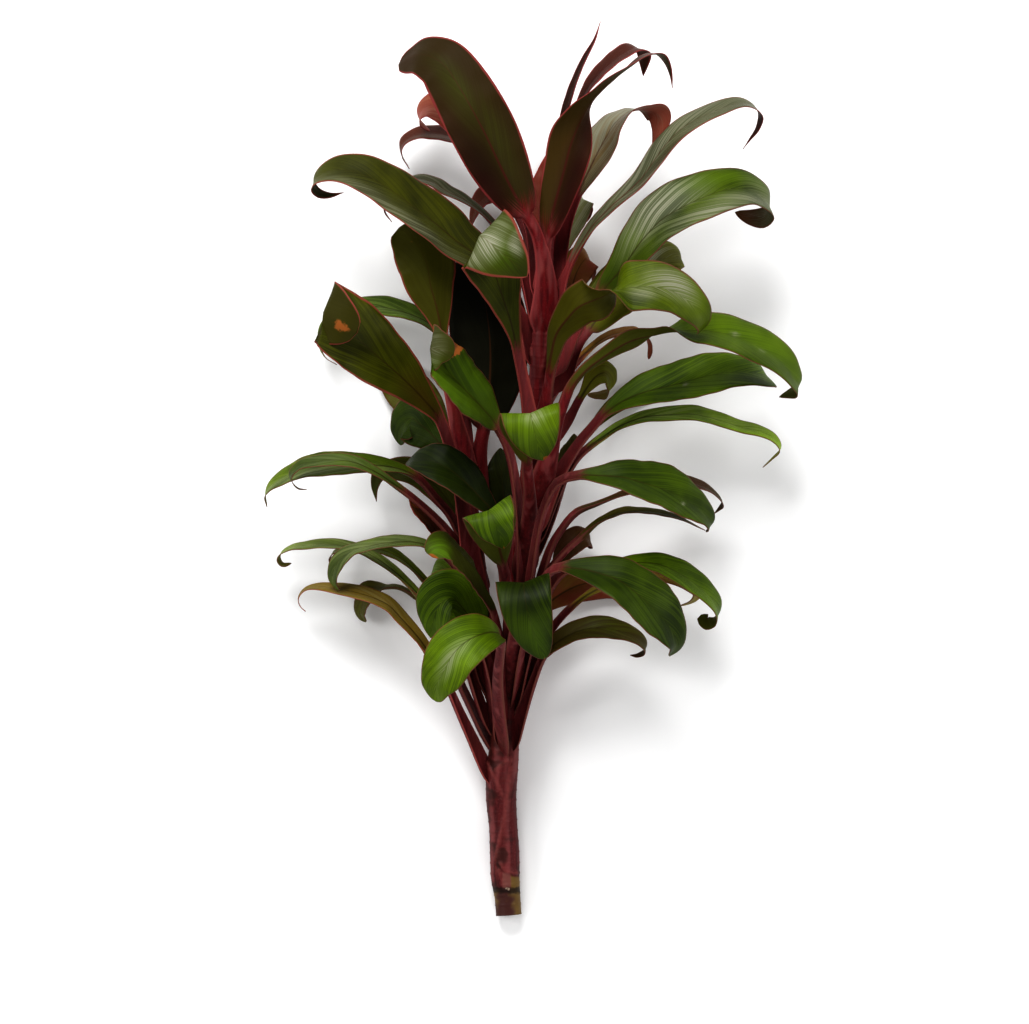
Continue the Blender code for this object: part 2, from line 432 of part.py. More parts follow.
def ring(rib, share, section, waves=(0, 0)):
    """Six points round a leaf: left, middle and right of the upper face, then of the lower one."""
    half, lift, edge, middle = section
    point, side, normal = rib.at(share)
    upper = [
        point - side * half + normal * (lift + waves[0]),
        point.copy(),
        point + side * half + normal * (lift + waves[1]),
    ]
    lower = [upper[0] - normal * edge, upper[1] - normal * middle, upper[2] - normal * edge]
    # What would reach below the table is pressed flat on it
    for pair in zip(upper, lower):
        bottom, top = sorted(pair, key=lambda p: p.z)
        if bottom.z < 0:
            bottom.z = 0
            top.z = max(top.z, edge)
    return [*upper, *lower]


def loft(name, rings, material):
    """A closed body from rings of left, middle and right over left, middle and right."""
    bm = bmesh.new()
    rows = [[bm.verts.new(p * MM) for p in six] for six in rings]
    for here, there in zip(rows, rows[1:]):
        for j in (0, 1):
            # Both faces are split along the same diagonal, so that they stay parallel
            for offset in (0, 3):
                a, b = here[j + offset], here[j + 1 + offset]
                c, d = there[j + 1 + offset], there[j + offset]
                bm.faces.new((a, b, c))
                bm.faces.new((a, c, d))
        for upper, lower in ((0, 3), (2, 5)):
            bm.faces.new((here[upper], here[lower], there[lower], there[upper]))
    for end in (rows[0], rows[-1]):
        for j in (0, 1):
            bm.faces.new((end[j], end[j + 1], end[j + 4], end[j + 3]))
    bmesh.ops.triangulate(bm, faces=[f for f in bm.faces if len(f.verts) > 3])
    bmesh.ops.recalc_face_normals(bm, faces=bm.faces)
    return add_object(name, bm, material)


def add_object(name, bm, material):
    mesh = bpy.data.meshes.new(name)
    bm.to_mesh(mesh)
    bm.free()
    mesh.shade_smooth()
    mesh.materials.append(material)
    obj = bpy.data.objects.new(name, mesh)
    bpy.context.scene.collection.objects.link(obj)
    return obj


def blade(leaf, rib, material):
    start = leaf.start + SEAM / rib.length
    rng = random.Random(leaf.name)
    phases = rng.uniform(0, math.tau), rng.uniform(0, math.tau)
    rings = []
    for k in range(BLADE_STATIONS + 1):
        u = k / BLADE_STATIONS
        section = blade_section(leaf, u)
        swell = WAVE_PER_HALF_WIDTH * section[0] * smoothstep(u / WAVE_REACH)
        waves = [swell * math.sin(math.tau * WAVES * u + phase) for phase in phases]
        rings.append(ring(rib, start + (1 - start) * u, section, waves))
    return loft(leaf.name, rings, material)


def stalk(leaf, rib, material):
    rings = [
        ring(rib, leaf.start * k / STALK_STATIONS, stalk_section(leaf, k / STALK_STATIONS))
        for k in range(STALK_STATIONS + 1)
    ]
    return loft(f"stalk_{leaf.name}", rings, material)


def shoot(name, axis, stations, material):
    """A round stem along an axis of places and radii, with its underside no lower than the table."""
    points, _ = smooth_path(axis, stations)
    bm = bmesh.new()
    rows = []
    for i, point in enumerate(points):
        way = (points[min(i + 1, stations)] - points[max(i - 1, 0)]).to_3d()
        side = way.cross(UP).normalized()
        over = side.cross(way).normalized()
        row = []
        for k in range(CANE_SIDES):
            angle = math.tau * (k + 0.5) / CANE_SIDES
            p = point.to_3d() + point.w * (math.cos(angle) * side + math.sin(angle) * over)
            p.z = max(p.z, 0)
            row.append(bm.verts.new(p * MM))
        rows.append(row)
    for here, there in zip(rows, rows[1:]):
        for k in range(CANE_SIDES):
            after = (k + 1) % CANE_SIDES
            bm.faces.new((here[k], here[after], there[after], there[k]))
    bm.faces.new(rows[0])
    bm.faces.new(rows[-1])
    bmesh.ops.triangulate(bm, faces=bm.faces)
    bmesh.ops.recalc_face_normals(bm, faces=bm.faces)
    return add_object(name, bm, material)


def join(body, pieces):
    """One body from the cane and everything that grows on it, without the scraps between crossing stalks."""
    group = bpy.data.collections.new("grows_on_cane")
    for piece in pieces:
        group.objects.link(piece)
    union = body.modifiers.new("grown_together", "BOOLEAN")
    union.operation = "UNION"
    union.operand_type = "COLLECTION"
    union.collection = group
    union.solver = "EXACT"
    bpy.context.view_layer.objects.active = body
    bpy.ops.object.modifier_apply(modifier=union.name)
    for piece in pieces:
        bpy.data.objects.remove(piece)
    bpy.data.collections.remove(group)
    keep_largest(body)


def keep_largest(obj):
    """Leaves only the largest connected surface of the mesh."""
    bm = bmesh.new()
    bm.from_mesh(obj.data)
    bm.verts.ensure_lookup_table()
    loose = set(bm.verts)
    islands = []
    while loose:
        island = set()
        front = [loose.pop()]
        while front:
            vert = front.pop()
            island.add(vert)
            for edge in vert.link_edges:
                other = edge.other_vert(vert)
                if other in loose:
                    loose.remove(other)
                    front.append(other)
        islands.append(island)
    islands.sort(key=len)
    scraps = [vert for island in islands[:-1] for vert in island]
    bmesh.ops.delete(bm, geom=scraps, context="VERTS")
    bm.to_mesh(obj.data)
    bm.free()


def build():
    clear_scene()
    stalk_red = finish("stalk_red", "stalk")
    stem = shoot("stem", MAIN_AXIS, MAIN_STATIONS, stalk_red)
    grown = [shoot("side_shoot", SIDE_AXIS, SIDE_STATIONS, stalk_red)]
    for leaf in LEAVES:
        rib = Rib(leaf)
        blade(leaf, rib, finish(f"{leaf.name}_leaf", leaf.tone))
        grown.append(stalk(leaf, rib, stalk_red))
    join(stem, grown)


build()
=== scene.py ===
# %% [markdown]
# # A cut ti plant that lies on a table
# The plant is a short cane with two shoots. Each leaf is one long body: a red stalk that clasps its
# shoot, and a blade that arches over and hangs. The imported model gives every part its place, and this
# lesson dresses it: one fine leaf for each leaf node, and a ringed stem for the stem node.

# %% Load the plant's frame
import math
import random
from collections import namedtuple

import bpy
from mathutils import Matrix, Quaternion, Vector, noise


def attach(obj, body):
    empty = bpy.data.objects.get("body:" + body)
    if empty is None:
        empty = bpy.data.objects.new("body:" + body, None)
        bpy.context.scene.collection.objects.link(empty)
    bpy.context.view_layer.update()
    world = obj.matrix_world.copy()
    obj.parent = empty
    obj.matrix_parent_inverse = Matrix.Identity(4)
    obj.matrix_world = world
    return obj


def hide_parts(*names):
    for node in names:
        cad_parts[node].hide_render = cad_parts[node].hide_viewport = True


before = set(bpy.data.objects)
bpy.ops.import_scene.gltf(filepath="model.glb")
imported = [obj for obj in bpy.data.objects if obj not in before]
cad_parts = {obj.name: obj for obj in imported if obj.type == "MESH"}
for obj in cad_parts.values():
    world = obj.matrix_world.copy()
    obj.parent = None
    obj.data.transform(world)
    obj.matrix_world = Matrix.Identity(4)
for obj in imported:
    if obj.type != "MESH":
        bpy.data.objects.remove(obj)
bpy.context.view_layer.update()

MM = 0.001

# %% [markdown]
# ## Camera, light and floor
# The plant lies down, so the camera looks straight down on it, from far away with a long lens, which
# keeps the nearest leaves from growing. The main soft light stands beyond the leaf tips, which is over the
# plant's head in the picture, and a pale sky fills the shadows. The floor is plain and pale.

# %% The camera
VIEW_HEIGHT = 5.0
MIDDLE_HEIGHT = 0.09
AIM = (-0.01295, -0.0264)
SENSOR = 36.0
VIEW_WIDTH = 0.7203

lens_data = bpy.data.cameras.new("photo_camera")
lens_data.sensor_width = SENSOR
lens_data.lens = SENSOR * VIEW_HEIGHT / VIEW_WIDTH
lens_data.clip_end = 50
camera = bpy.data.objects.new("photo_camera", lens_data)
camera.location = (*AIM, MIDDLE_HEIGHT + VIEW_HEIGHT)
bpy.context.scene.collection.objects.link(camera)
bpy.context.scene.camera = camera
print("lens in millimetres:", round(lens_data.lens, 1))


# %% The lights
def soft_light(name, place, target, size, power):
    """A square soft box that faces its target."""
    data = bpy.data.lights.new(name, "AREA")
    data.size = size
    data.energy = power
    box = bpy.data.objects.new(name, data)
    box.location = place
    box.rotation_euler = (Vector(target) - Vector(place)).to_track_quat("-Z", "Y").to_euler()
    bpy.context.scene.collection.objects.link(box)


PLANT_MIDDLE = (0, 0, 0.08)
SKY_STRENGTH = 0.3
soft_light("key_box", (-0.5, 2.1, 2.1), (0, 0.05, 0.08), 1.3, 66)
soft_light("left_box", (-2.3, 0.2, 1.8), PLANT_MIDDLE, 1.2, 22)
soft_light("right_box", (2.3, 0.3, 1.8), PLANT_MIDDLE, 1.2, 22)
soft_light("foot_box", (0.2, -2.3, 1.8), PLANT_MIDDLE, 1.2, 14)

sky = bpy.data.worlds.new("studio_sky")
sky.use_nodes = True
sky.node_tree.nodes["Background"].inputs["Color"].default_value = (1.0, 1.0, 1.0, 1)
sky.node_tree.nodes["Background"].inputs["Strength"].default_value = SKY_STRENGTH
bpy.context.scene.world = sky
bpy.context.scene.view_settings.view_transform = "Standard"
bpy.context.scene.view_settings.look = "High Contrast"
print("lights:", ", ".join(light.name for light in bpy.data.lights))


# %% [markdown]
# ## Small helpers for materials
# A procedural material is a web of nodes. A few helpers keep it readable: one adds a node with its
# settings and wires its inputs, and the others are the sums, eased steps, layers and noises that every
# finish needs. An effect that several finishes share becomes a node group, which is built once and placed
# in each finish with its own values.

# %% Node helpers
def add_node(tree, kind, inputs=None, **settings):
    """A node with its settings, whose inputs are plain values or other nodes' outputs."""
    made = tree.nodes.new(kind)
    for key, value in settings.items():
        setattr(made, key, value)
    for key, value in (inputs or {}).items():
        if isinstance(value, bpy.types.NodeSocket):
            tree.links.new(value, made.inputs[key])
        else:
            made.inputs[key].default_value = value
    return made


def calc(tree, operation, *values):
    """The result of one sum on plain values or outputs."""
    return add_node(tree, "ShaderNodeMath", dict(enumerate(values)), operation=operation).outputs[0]


def times(tree, value, factor):
    return calc(tree, "MULTIPLY", value, factor)


def times_plus(tree, value, factor, more):
    return calc(tree, "MULTIPLY_ADD", value, factor, more)


def ramp(tree, value, start, stop, low=0.0, high=1.0):
    """The value, eased from low to high between start and stop."""
    inputs = {"Value": value, 1: start, 2: stop, 3: low, 4: high}
    return add_node(tree, "ShaderNodeMapRange", inputs, interpolation_type="SMOOTHSTEP").outputs[0]


def tint(tree, share, under, over, mode="MIX"):
    """The under colour with the over colour laid on it by its share."""
    inputs = {0: share, 6: under, 7: over}
    settings = {"data_type": "RGBA", "blend_type": mode, "clamp_factor": True}
    return add_node(tree, "ShaderNodeMix", inputs, **settings).outputs[2]


def lay_on(tree, colour, *layers):
    """The colour with layers on it, from the bottom up: each is a share and a colour."""
    for share, over in layers:
        colour = tint(tree, share, colour, over)
    return colour


def noise_at(tree, place, scale, detail):
    """Soft noise, from 0 to 1."""
    inputs = {"Vector": place, "Scale": scale, "Detail": detail}
    return add_node(tree, "ShaderNodeTexNoise", inputs).outputs["Fac"]


def stretched_noise(tree, place, scale, detail):
    """Noise with its own scale for each direction."""
    spread = add_node(tree, "ShaderNodeMapping", {"Vector": place, "Scale": scale}).outputs[0]
    return noise_at(tree, spread, 1.0, detail)


def read(tree, name):
    """A leaf's own value, written on its points."""
    return add_node(tree, "ShaderNodeAttribute", attribute_name=name).outputs["Fac"]


def new_group(name, inputs, outputs):
    """An empty node group, its input sockets and its output node."""
    group = bpy.data.node_groups.new(name, "ShaderNodeTree")
    for label, kind, start in inputs:
        socket = group.interface.new_socket(label, in_out="INPUT", socket_type=f"NodeSocket{kind}")
        socket.default_value = start
    for label, kind in outputs:
        group.interface.new_socket(label, in_out="OUTPUT", socket_type=f"NodeSocket{kind}")
    return group, group.nodes.new("NodeGroupInput").outputs, group.nodes.new("NodeGroupOutput")


def place_group(tree, group, inputs):
    return add_node(tree, "ShaderNodeGroup", inputs, node_tree=group).outputs


def new_finish(name, specular):
    """A new material, its node tree and its shader."""
    material = bpy.data.materials.new(name)
    material.use_nodes = True
    shader = material.node_tree.nodes["Principled BSDF"]
    shader.inputs["Specular IOR Level"].default_value = specular
    return material, material.node_tree, shader


def add_relief(tree, shader, height, strength, distance):
    bump = add_node(tree, "ShaderNodeBump", {"Height": height, "Strength": strength, "Distance": distance})
    tree.links.new(bump.outputs["Normal"], shader.inputs["Normal"])


# %% The floor
floor_finish, tree, shader = new_finish("pale_floor", specular=0.5)
paper = add_node(tree, "ShaderNodeTexNoise", {"Scale": 3.0, "Detail": 2.0}).outputs["Fac"]
floor_colour = tint(tree, paper, (0.88, 0.88, 0.88, 1), (0.9, 0.9, 0.9, 1))
tree.links.new(floor_colour, shader.inputs["Base Color"])
shader.inputs["Roughness"].default_value = 0.9

FLOOR_SIZE = 12
FLOOR_DROP = 0.4 * MM
bpy.ops.object.select_all(action="DESELECT")
bpy.ops.mesh.primitive_plane_add(size=FLOOR_SIZE, location=(0, 0, -FLOOR_DROP))
floor = bpy.context.object
floor.name = "table_top_floor"
floor.data.materials.append(floor_finish)
print("floor:", FLOOR_SIZE, "m wide,", FLOOR_DROP, "m under the table height")

# %% [markdown]
# ## What every leaf knows about itself
# The finishes follow the leaf and not the room, so each leaf carries values on its points: how far along
# it a point is, how far from the midrib and from the margin, whether on the underside, how withered it is,
# how much painted light (bright) and painted sheen it has, how light it is (its own tone with painted shade
# and light), and how red, old or warm it is there. The veins of a ti leaf leave the midrib at a shallow
# angle and bend until they run along the margin. Lines of one value of a mix of the distances along and
# across do just that, so noise along that mix draws the veins.

# %% The values
POINT_VALUES = (
    "along", "across", "run", "off_midrib", "inset", "underside", "wither", "bright", "bloom", "light",
    "redness", "age", "warm", "edge",
)
print("each point of a leaf carries", len(POINT_VALUES), "values")

# %% Veins
VEIN_LEAN = 2.6
VEIN_BEND = 1.4
BEND_REACH = 0.02
SIDE_STEP = 7.0
SLOW_CHANGE = 6.0
BROAD_SHARE = 0.22

veins_group, given, out = new_group(
    "fine_veins",
    [("Run", "Float", 0), ("Off midrib", "Float", 0), ("Across", "Float", 0), ("Fineness", "Float", 900)],
    [("Streaks", "Float"), ("Broad", "Float"), ("Relief", "Float")],
)
tree = veins_group
bent = calc(tree, "POWER", calc(tree, "ABSOLUTE", given["Across"]), VEIN_BEND)
lag = times(tree, calc(tree, "ABSOLUTE", given["Off midrib"]), VEIN_LEAN)
lag = times_plus(tree, bent, BEND_REACH, lag)
line = calc(tree, "SUBTRACT", given["Run"], lag)
side = times(tree, calc(tree, "SIGN", given["Off midrib"]), SIDE_STEP)
slow = times(tree, given["Run"], SLOW_CHANGE)


def vein_noise(fineness, detail):
    """Noise that changes fast across the veins and slowly along them."""
    place = add_node(tree, "ShaderNodeCombineXYZ", {0: times(tree, line, fineness), 1: slow, 2: side})
    return noise_at(tree, place.outputs[0], 1.0, detail)


fine = vein_noise(given["Fineness"], 2.0)
broad = vein_noise(times(tree, given["Fineness"], BROAD_SHARE), 1.0)
tree.links.new(ramp(tree, fine, 0.38, 0.66), out.inputs["Streaks"])
tree.links.new(ramp(tree, broad, 0.36, 0.66), out.inputs["Broad"])
tree.links.new(fine, out.inputs["Relief"])
print("sockets of the vein group:", [socket.name for socket in out.inputs if socket.name])

# %% [markdown]
# ## Red stalks
# A ti stalk is maroon with thin dark lines, its thin edges are pink, and old stalks low on the plant turn a
# dull purple-brown. Wider pale bands along it are painted highlights. The same red runs out into the foot
# of the blade, so the stalk's colour is a group that leaf and stem share. Noise that is drawn out along the
# plant gives the lines and the painted highlight bands.

# %% Stalk colour
LINE_SCALE = (420.0, 26.0, 420.0)
# painted highlight: the scale of the pale bands along the stalks
HIGHLIGHT_BAND_SCALE = (150.0, 9.0, 150.0)
LINE_RED = (0.03, 0.003, 0.005, 1)
CLOUD_BROWN = (0.07, 0.03, 0.015, 1)

stalk_group, given, out = new_group(
    "stalk_colour",
    [
        ("Place", "Vector", (0, 0, 0)),
        ("Across", "Float", 0),
        ("Age", "Float", 0.5),
        ("Inner", "Float", 0),
        ("Young", "Color", (0.15, 0.009, 0.012, 1)),
        ("Old", "Color", (0.105, 0.015, 0.016, 1)),
        ("Edge", "Color", (0.27, 0.08, 0.078, 1)),
    ],
    [("Colour", "Color"), ("Relief", "Float")],
)
tree = stalk_group
lines = stretched_noise(tree, given["Place"], LINE_SCALE, 3.0)
highlight_bands = stretched_noise(tree, given["Place"], HIGHLIGHT_BAND_SCALE, 1.0)
specks = noise_at(tree, given["Place"], 900.0, 2.0)
cloud = noise_at(tree, given["Place"], 45.0, 3.0)
rim = ramp(tree, calc(tree, "ABSOLUTE", given["Across"]), 0.55, 1.0, high=0.6)
rim = times(tree, rim, times_plus(tree, given["Age"], -0.3, 1.0))
pale = times(tree, given["Inner"], times_plus(tree, given["Age"], -0.2, 0.35))
# painted highlight: the pale bands, laid on beside the paler inner face
pale = calc(tree, "MAXIMUM", pale, ramp(tree, highlight_bands, 0.5, 0.7, high=0.45))
colour = lay_on(
    tree, given["Young"],
    (given["Age"], given["Old"]),
    (ramp(tree, lines, 0.4, 0.7, high=0.55), LINE_RED),
    (ramp(tree, specks, 0.55, 0.75, high=0.25), given["Edge"]),
    (ramp(tree, cloud, 0.5, 0.75, high=0.3), CLOUD_BROWN),
    (calc(tree, "MAXIMUM", rim, pale), given["Edge"]),
)
tree.links.new(colour, out.inputs["Colour"])
tree.links.new(lines, out.inputs["Relief"])
print("nodes of the stalk group:", len(stalk_group.nodes))

# %% [markdown]
# ## The leaf finishes
# One recipe makes every leaf finish. From the bottom up it lays the green of the flesh with its veins, red
# flushes and painted light (bright green where light shines through the blade and falls on it), and scales
# all of it by the leaf's lightness, its own tone with painted shade and light. On that come pale streaks of
# painted sheen, the midrib, the red foot, the thin margin, and last the orange and brown of withered spots,
# which noise makes ragged. The skin is a satin gloss, broken a little by the veins.

# %% The leaf recipe
VEIN_FINENESS = 1500.0
CLOUD_SCALE = 28.0
CRUMB_SCALE = 420.0
# painted light: the bright green of light that shines through the blade and falls on it
LIT_GREEN = (0.105, 0.185, 0.005, 1)
# painted sheen: the pale grey of the gloss reflections, laid on as streaks
SHEEN_GREY = (0.25, 0.25, 0.18, 1)
RIB_RED = (0.06, 0.009, 0.006, 1)
WARMER = (1.5, 1.0, 0.4, 1)
WITHERED_ORANGE = (0.24, 0.085, 0.02, 1)
WITHERED_BROWN = (0.12, 0.045, 0.015, 1)
RIB_FOOT_WIDTH = 2.0 * MM
RIB_TIP_WIDTH = 0.5 * MM
MARGIN_WIDTH = 1.5 * MM
LEAF_RELIEF = 0.35


def leaf_finish(name, deep, light, under, margin, line, rib, flush=0.0, sheen=0.0, gloss=0.42):
    """A leaf's material. Flush is the red foot's reach, sheen the painted sheen on the upper face."""
    material, tree, shader = new_finish(name, specular=0.15)
    own = {label: read(tree, label) for label in POINT_VALUES}
    along, across, below, wither = own["along"], own["across"], own["underside"], own["wither"]
    above = calc(tree, "SUBTRACT", 1.0, below)
    room = add_node(tree, "ShaderNodeTexCoord").outputs["Object"]
    cloud = noise_at(tree, room, CLOUD_SCALE, 3.0)
    crumbs = noise_at(tree, room, CRUMB_SCALE, 3.0)
    ways = {"Run": own["run"], "Off midrib": own["off_midrib"], "Across": across, "Fineness": VEIN_FINENESS}
    veins = place_group(tree, veins_group, ways)
    ways = {"Place": room, "Across": across, "Age": own["age"], "Inner": above}
    stalk = place_group(tree, stalk_group, ways)

    flesh = lay_on(
        tree, deep,
        (ramp(tree, cloud, 0.35, 0.7), light),
        (times(tree, veins["Broad"], 0.75), light),
        (times(tree, veins["Streaks"], 0.75), deep),
        (times(tree, below, 0.85), under),
        (times(tree, own["redness"], ramp(tree, cloud, 0.3, 0.65, 0.6, 1.0)), rib),
        # painted light on the leaf's bright spots
        (times(tree, own["bright"], ramp(tree, veins["Broad"], 0.0, 1.0, 0.6, 1.0)), LIT_GREEN),
    )
    flesh = tint(tree, own["warm"], flesh, WARMER, "MULTIPLY")
    # lightness: the leaf's own tone with painted shade and painted light
    tone_and_painted_light = add_node(tree, "ShaderNodeVectorMath", {0: flesh, "Scale": own["light"]}, operation="SCALE")

    streaked = times_plus(tree, veins["Streaks"], -0.35, veins["Broad"])
    # painted sheen: pale grey streaks on the upper face and on the leaf's sheen spots
    sheen_share = times_plus(tree, above, sheen, own["bloom"])
    sheen_share = times(tree, sheen_share, ramp(tree, streaked, -0.1, 0.85, 0.3, 1.0))

    rib_width = ramp(tree, along, 0.0, 0.9, RIB_FOOT_WIDTH, RIB_TIP_WIDTH)
    rib_width = times(tree, rib_width, ramp(tree, below, 0, 1, 0.5, 0.65))
    off_rib = calc(tree, "DIVIDE", calc(tree, "ABSOLUTE", own["off_midrib"]), rib_width)
    on_rib = times(tree, ramp(tree, off_rib, 0.35, 1.0, 0.75, 0.0), ramp(tree, along, 0.15, 0.95, 1.0, 0.2))

    broken = times_plus(tree, veins["Broad"], 0.05, along)
    foot = ramp(tree, broken, 0.0, 0.08 + flush, 1.0, 0.0)
    margin_width = times(tree, times(tree, cloud, MARGIN_WIDTH), own["edge"])
    inside = calc(tree, "DIVIDE", own["inset"], margin_width)
    ragged = times_plus(tree, cloud, 1.2, times_plus(tree, crumbs, 0.5, -0.85))
    spotted = times_plus(tree, ragged, ramp(tree, wither, 0.0, 0.3), wither)

    flesh = lay_on(
        tree, tone_and_painted_light.outputs[0],
        (sheen_share, SHEEN_GREY),
        (on_rib, tint(tree, below, line, rib)),
        (foot, stalk["Colour"]),
        (ramp(tree, inside, 0.35, 1.0, 0.8, 0.0), margin),
        (ramp(tree, spotted, 0.15, 0.3), WITHERED_ORANGE),
        (ramp(tree, spotted, 0.55, 0.8), WITHERED_BROWN),
    )
    tree.links.new(flesh, shader.inputs["Base Color"])

    rough = times_plus(tree, veins["Streaks"], 0.14, gloss)
    rough = times_plus(tree, below, 0.12, rough)
    rough = calc(tree, "ADD", rough, ramp(tree, spotted, 0.15, 0.4, high=0.3))
    tree.links.new(rough, shader.inputs["Roughness"])
    relief = times_plus(tree, veins["Relief"], 0.8, times(tree, cloud, 1.5))
    relief = times_plus(tree, stalk["Relief"], foot, relief)
    add_relief(tree, shader, relief, LEAF_RELIEF, 0.35 * MM)
    return material


# %% The four finishes
LEAF_FINISHES = {
    "green": leaf_finish(
        "leaf_green_finish",
        deep=(0.02, 0.036, 0.001, 1), light=(0.085, 0.135, 0.003, 1), under=(0.045, 0.045, 0.003, 1),
        margin=(0.15, 0.05, 0.035, 1), line=(0.03, 0.024, 0.002, 1), rib=(0.06, 0.016, 0.008, 1),
    ),
    "bronze": leaf_finish(
        "leaf_bronze_finish",
        deep=(0.03, 0.01, 0.003, 1), light=(0.07, 0.025, 0.008, 1), under=(0.045, 0.028, 0.003, 1),
        margin=(0.27, 0.05, 0.05, 1), line=(0.05, 0.01, 0.005, 1), rib=RIB_RED, flush=0.05,
    ),
    # sheen lays painted sheen on the upper face of every dusky leaf
    "dusky": leaf_finish(
        "leaf_dusky_finish",
        deep=(0.03, 0.035, 0.006, 1), light=(0.08, 0.085, 0.02, 1), under=(0.05, 0.009, 0.008, 1),
        margin=(0.22, 0.04, 0.035, 1), line=(0.08, 0.03, 0.02, 1), rib=RIB_RED, sheen=0.4, gloss=0.36,
    ),
    "mottled": leaf_finish(
        "leaf_mottled_finish",
        deep=(0.024, 0.027, 0.001, 1), light=(0.07, 0.08, 0.003, 1), under=(0.035, 0.032, 0.002, 1),
        margin=(0.27, 0.06, 0.05, 1), line=(0.03, 0.018, 0.003, 1), rib=(0.06, 0.02, 0.005, 1),
    ),
}
print("leaf finishes:", ", ".join(LEAF_FINISHES))

# %% [markdown]
# ## The leaves, row by row
# No two leaves of the plant look alike, so each has its own rows in a table of plain text.
#
# - The first row holds its name, its tone, the full width of its blade, where on its rib the blade starts,
#   its shape and its facing. The shape is where the blade is widest, how slender its foot half is and how
#   slender its tip half is. The facing is in degrees at shares of the rib: 0 where the upper face looks up
#   from the table, 90 where it looks to the left of the leaf's run, and 180 where it looks down.
# - The rows with equals signs hold its looks: how light it is (its own tone, and for some leaves painted
#   shade and painted light, as the near-black side_shade and side_broad paint deep shade), how red and
#   warm it is, how thick its pink edge, where its midrib shows (rib_at), and spots of painted light
#   (bright), of painted shade (shade, which paints light where its strength is negative), flushed with
#   red, of painted sheen, or withered. A spot is its place along and across the blade, its length, its
#   width and its strength.
# - The last rows are the points of its rib, from the shoot to the tip, in millimetres.

# %% Leaf table
Leaf = namedtuple("Leaf", "name tone width start shape facing looks spots points")
# bright spots are painted light, shade spots painted shade (painted light where negative), sheen spots
# painted sheen
SPOT_KINDS = ("bright", "shade", "flushed", "bloom", "wither")
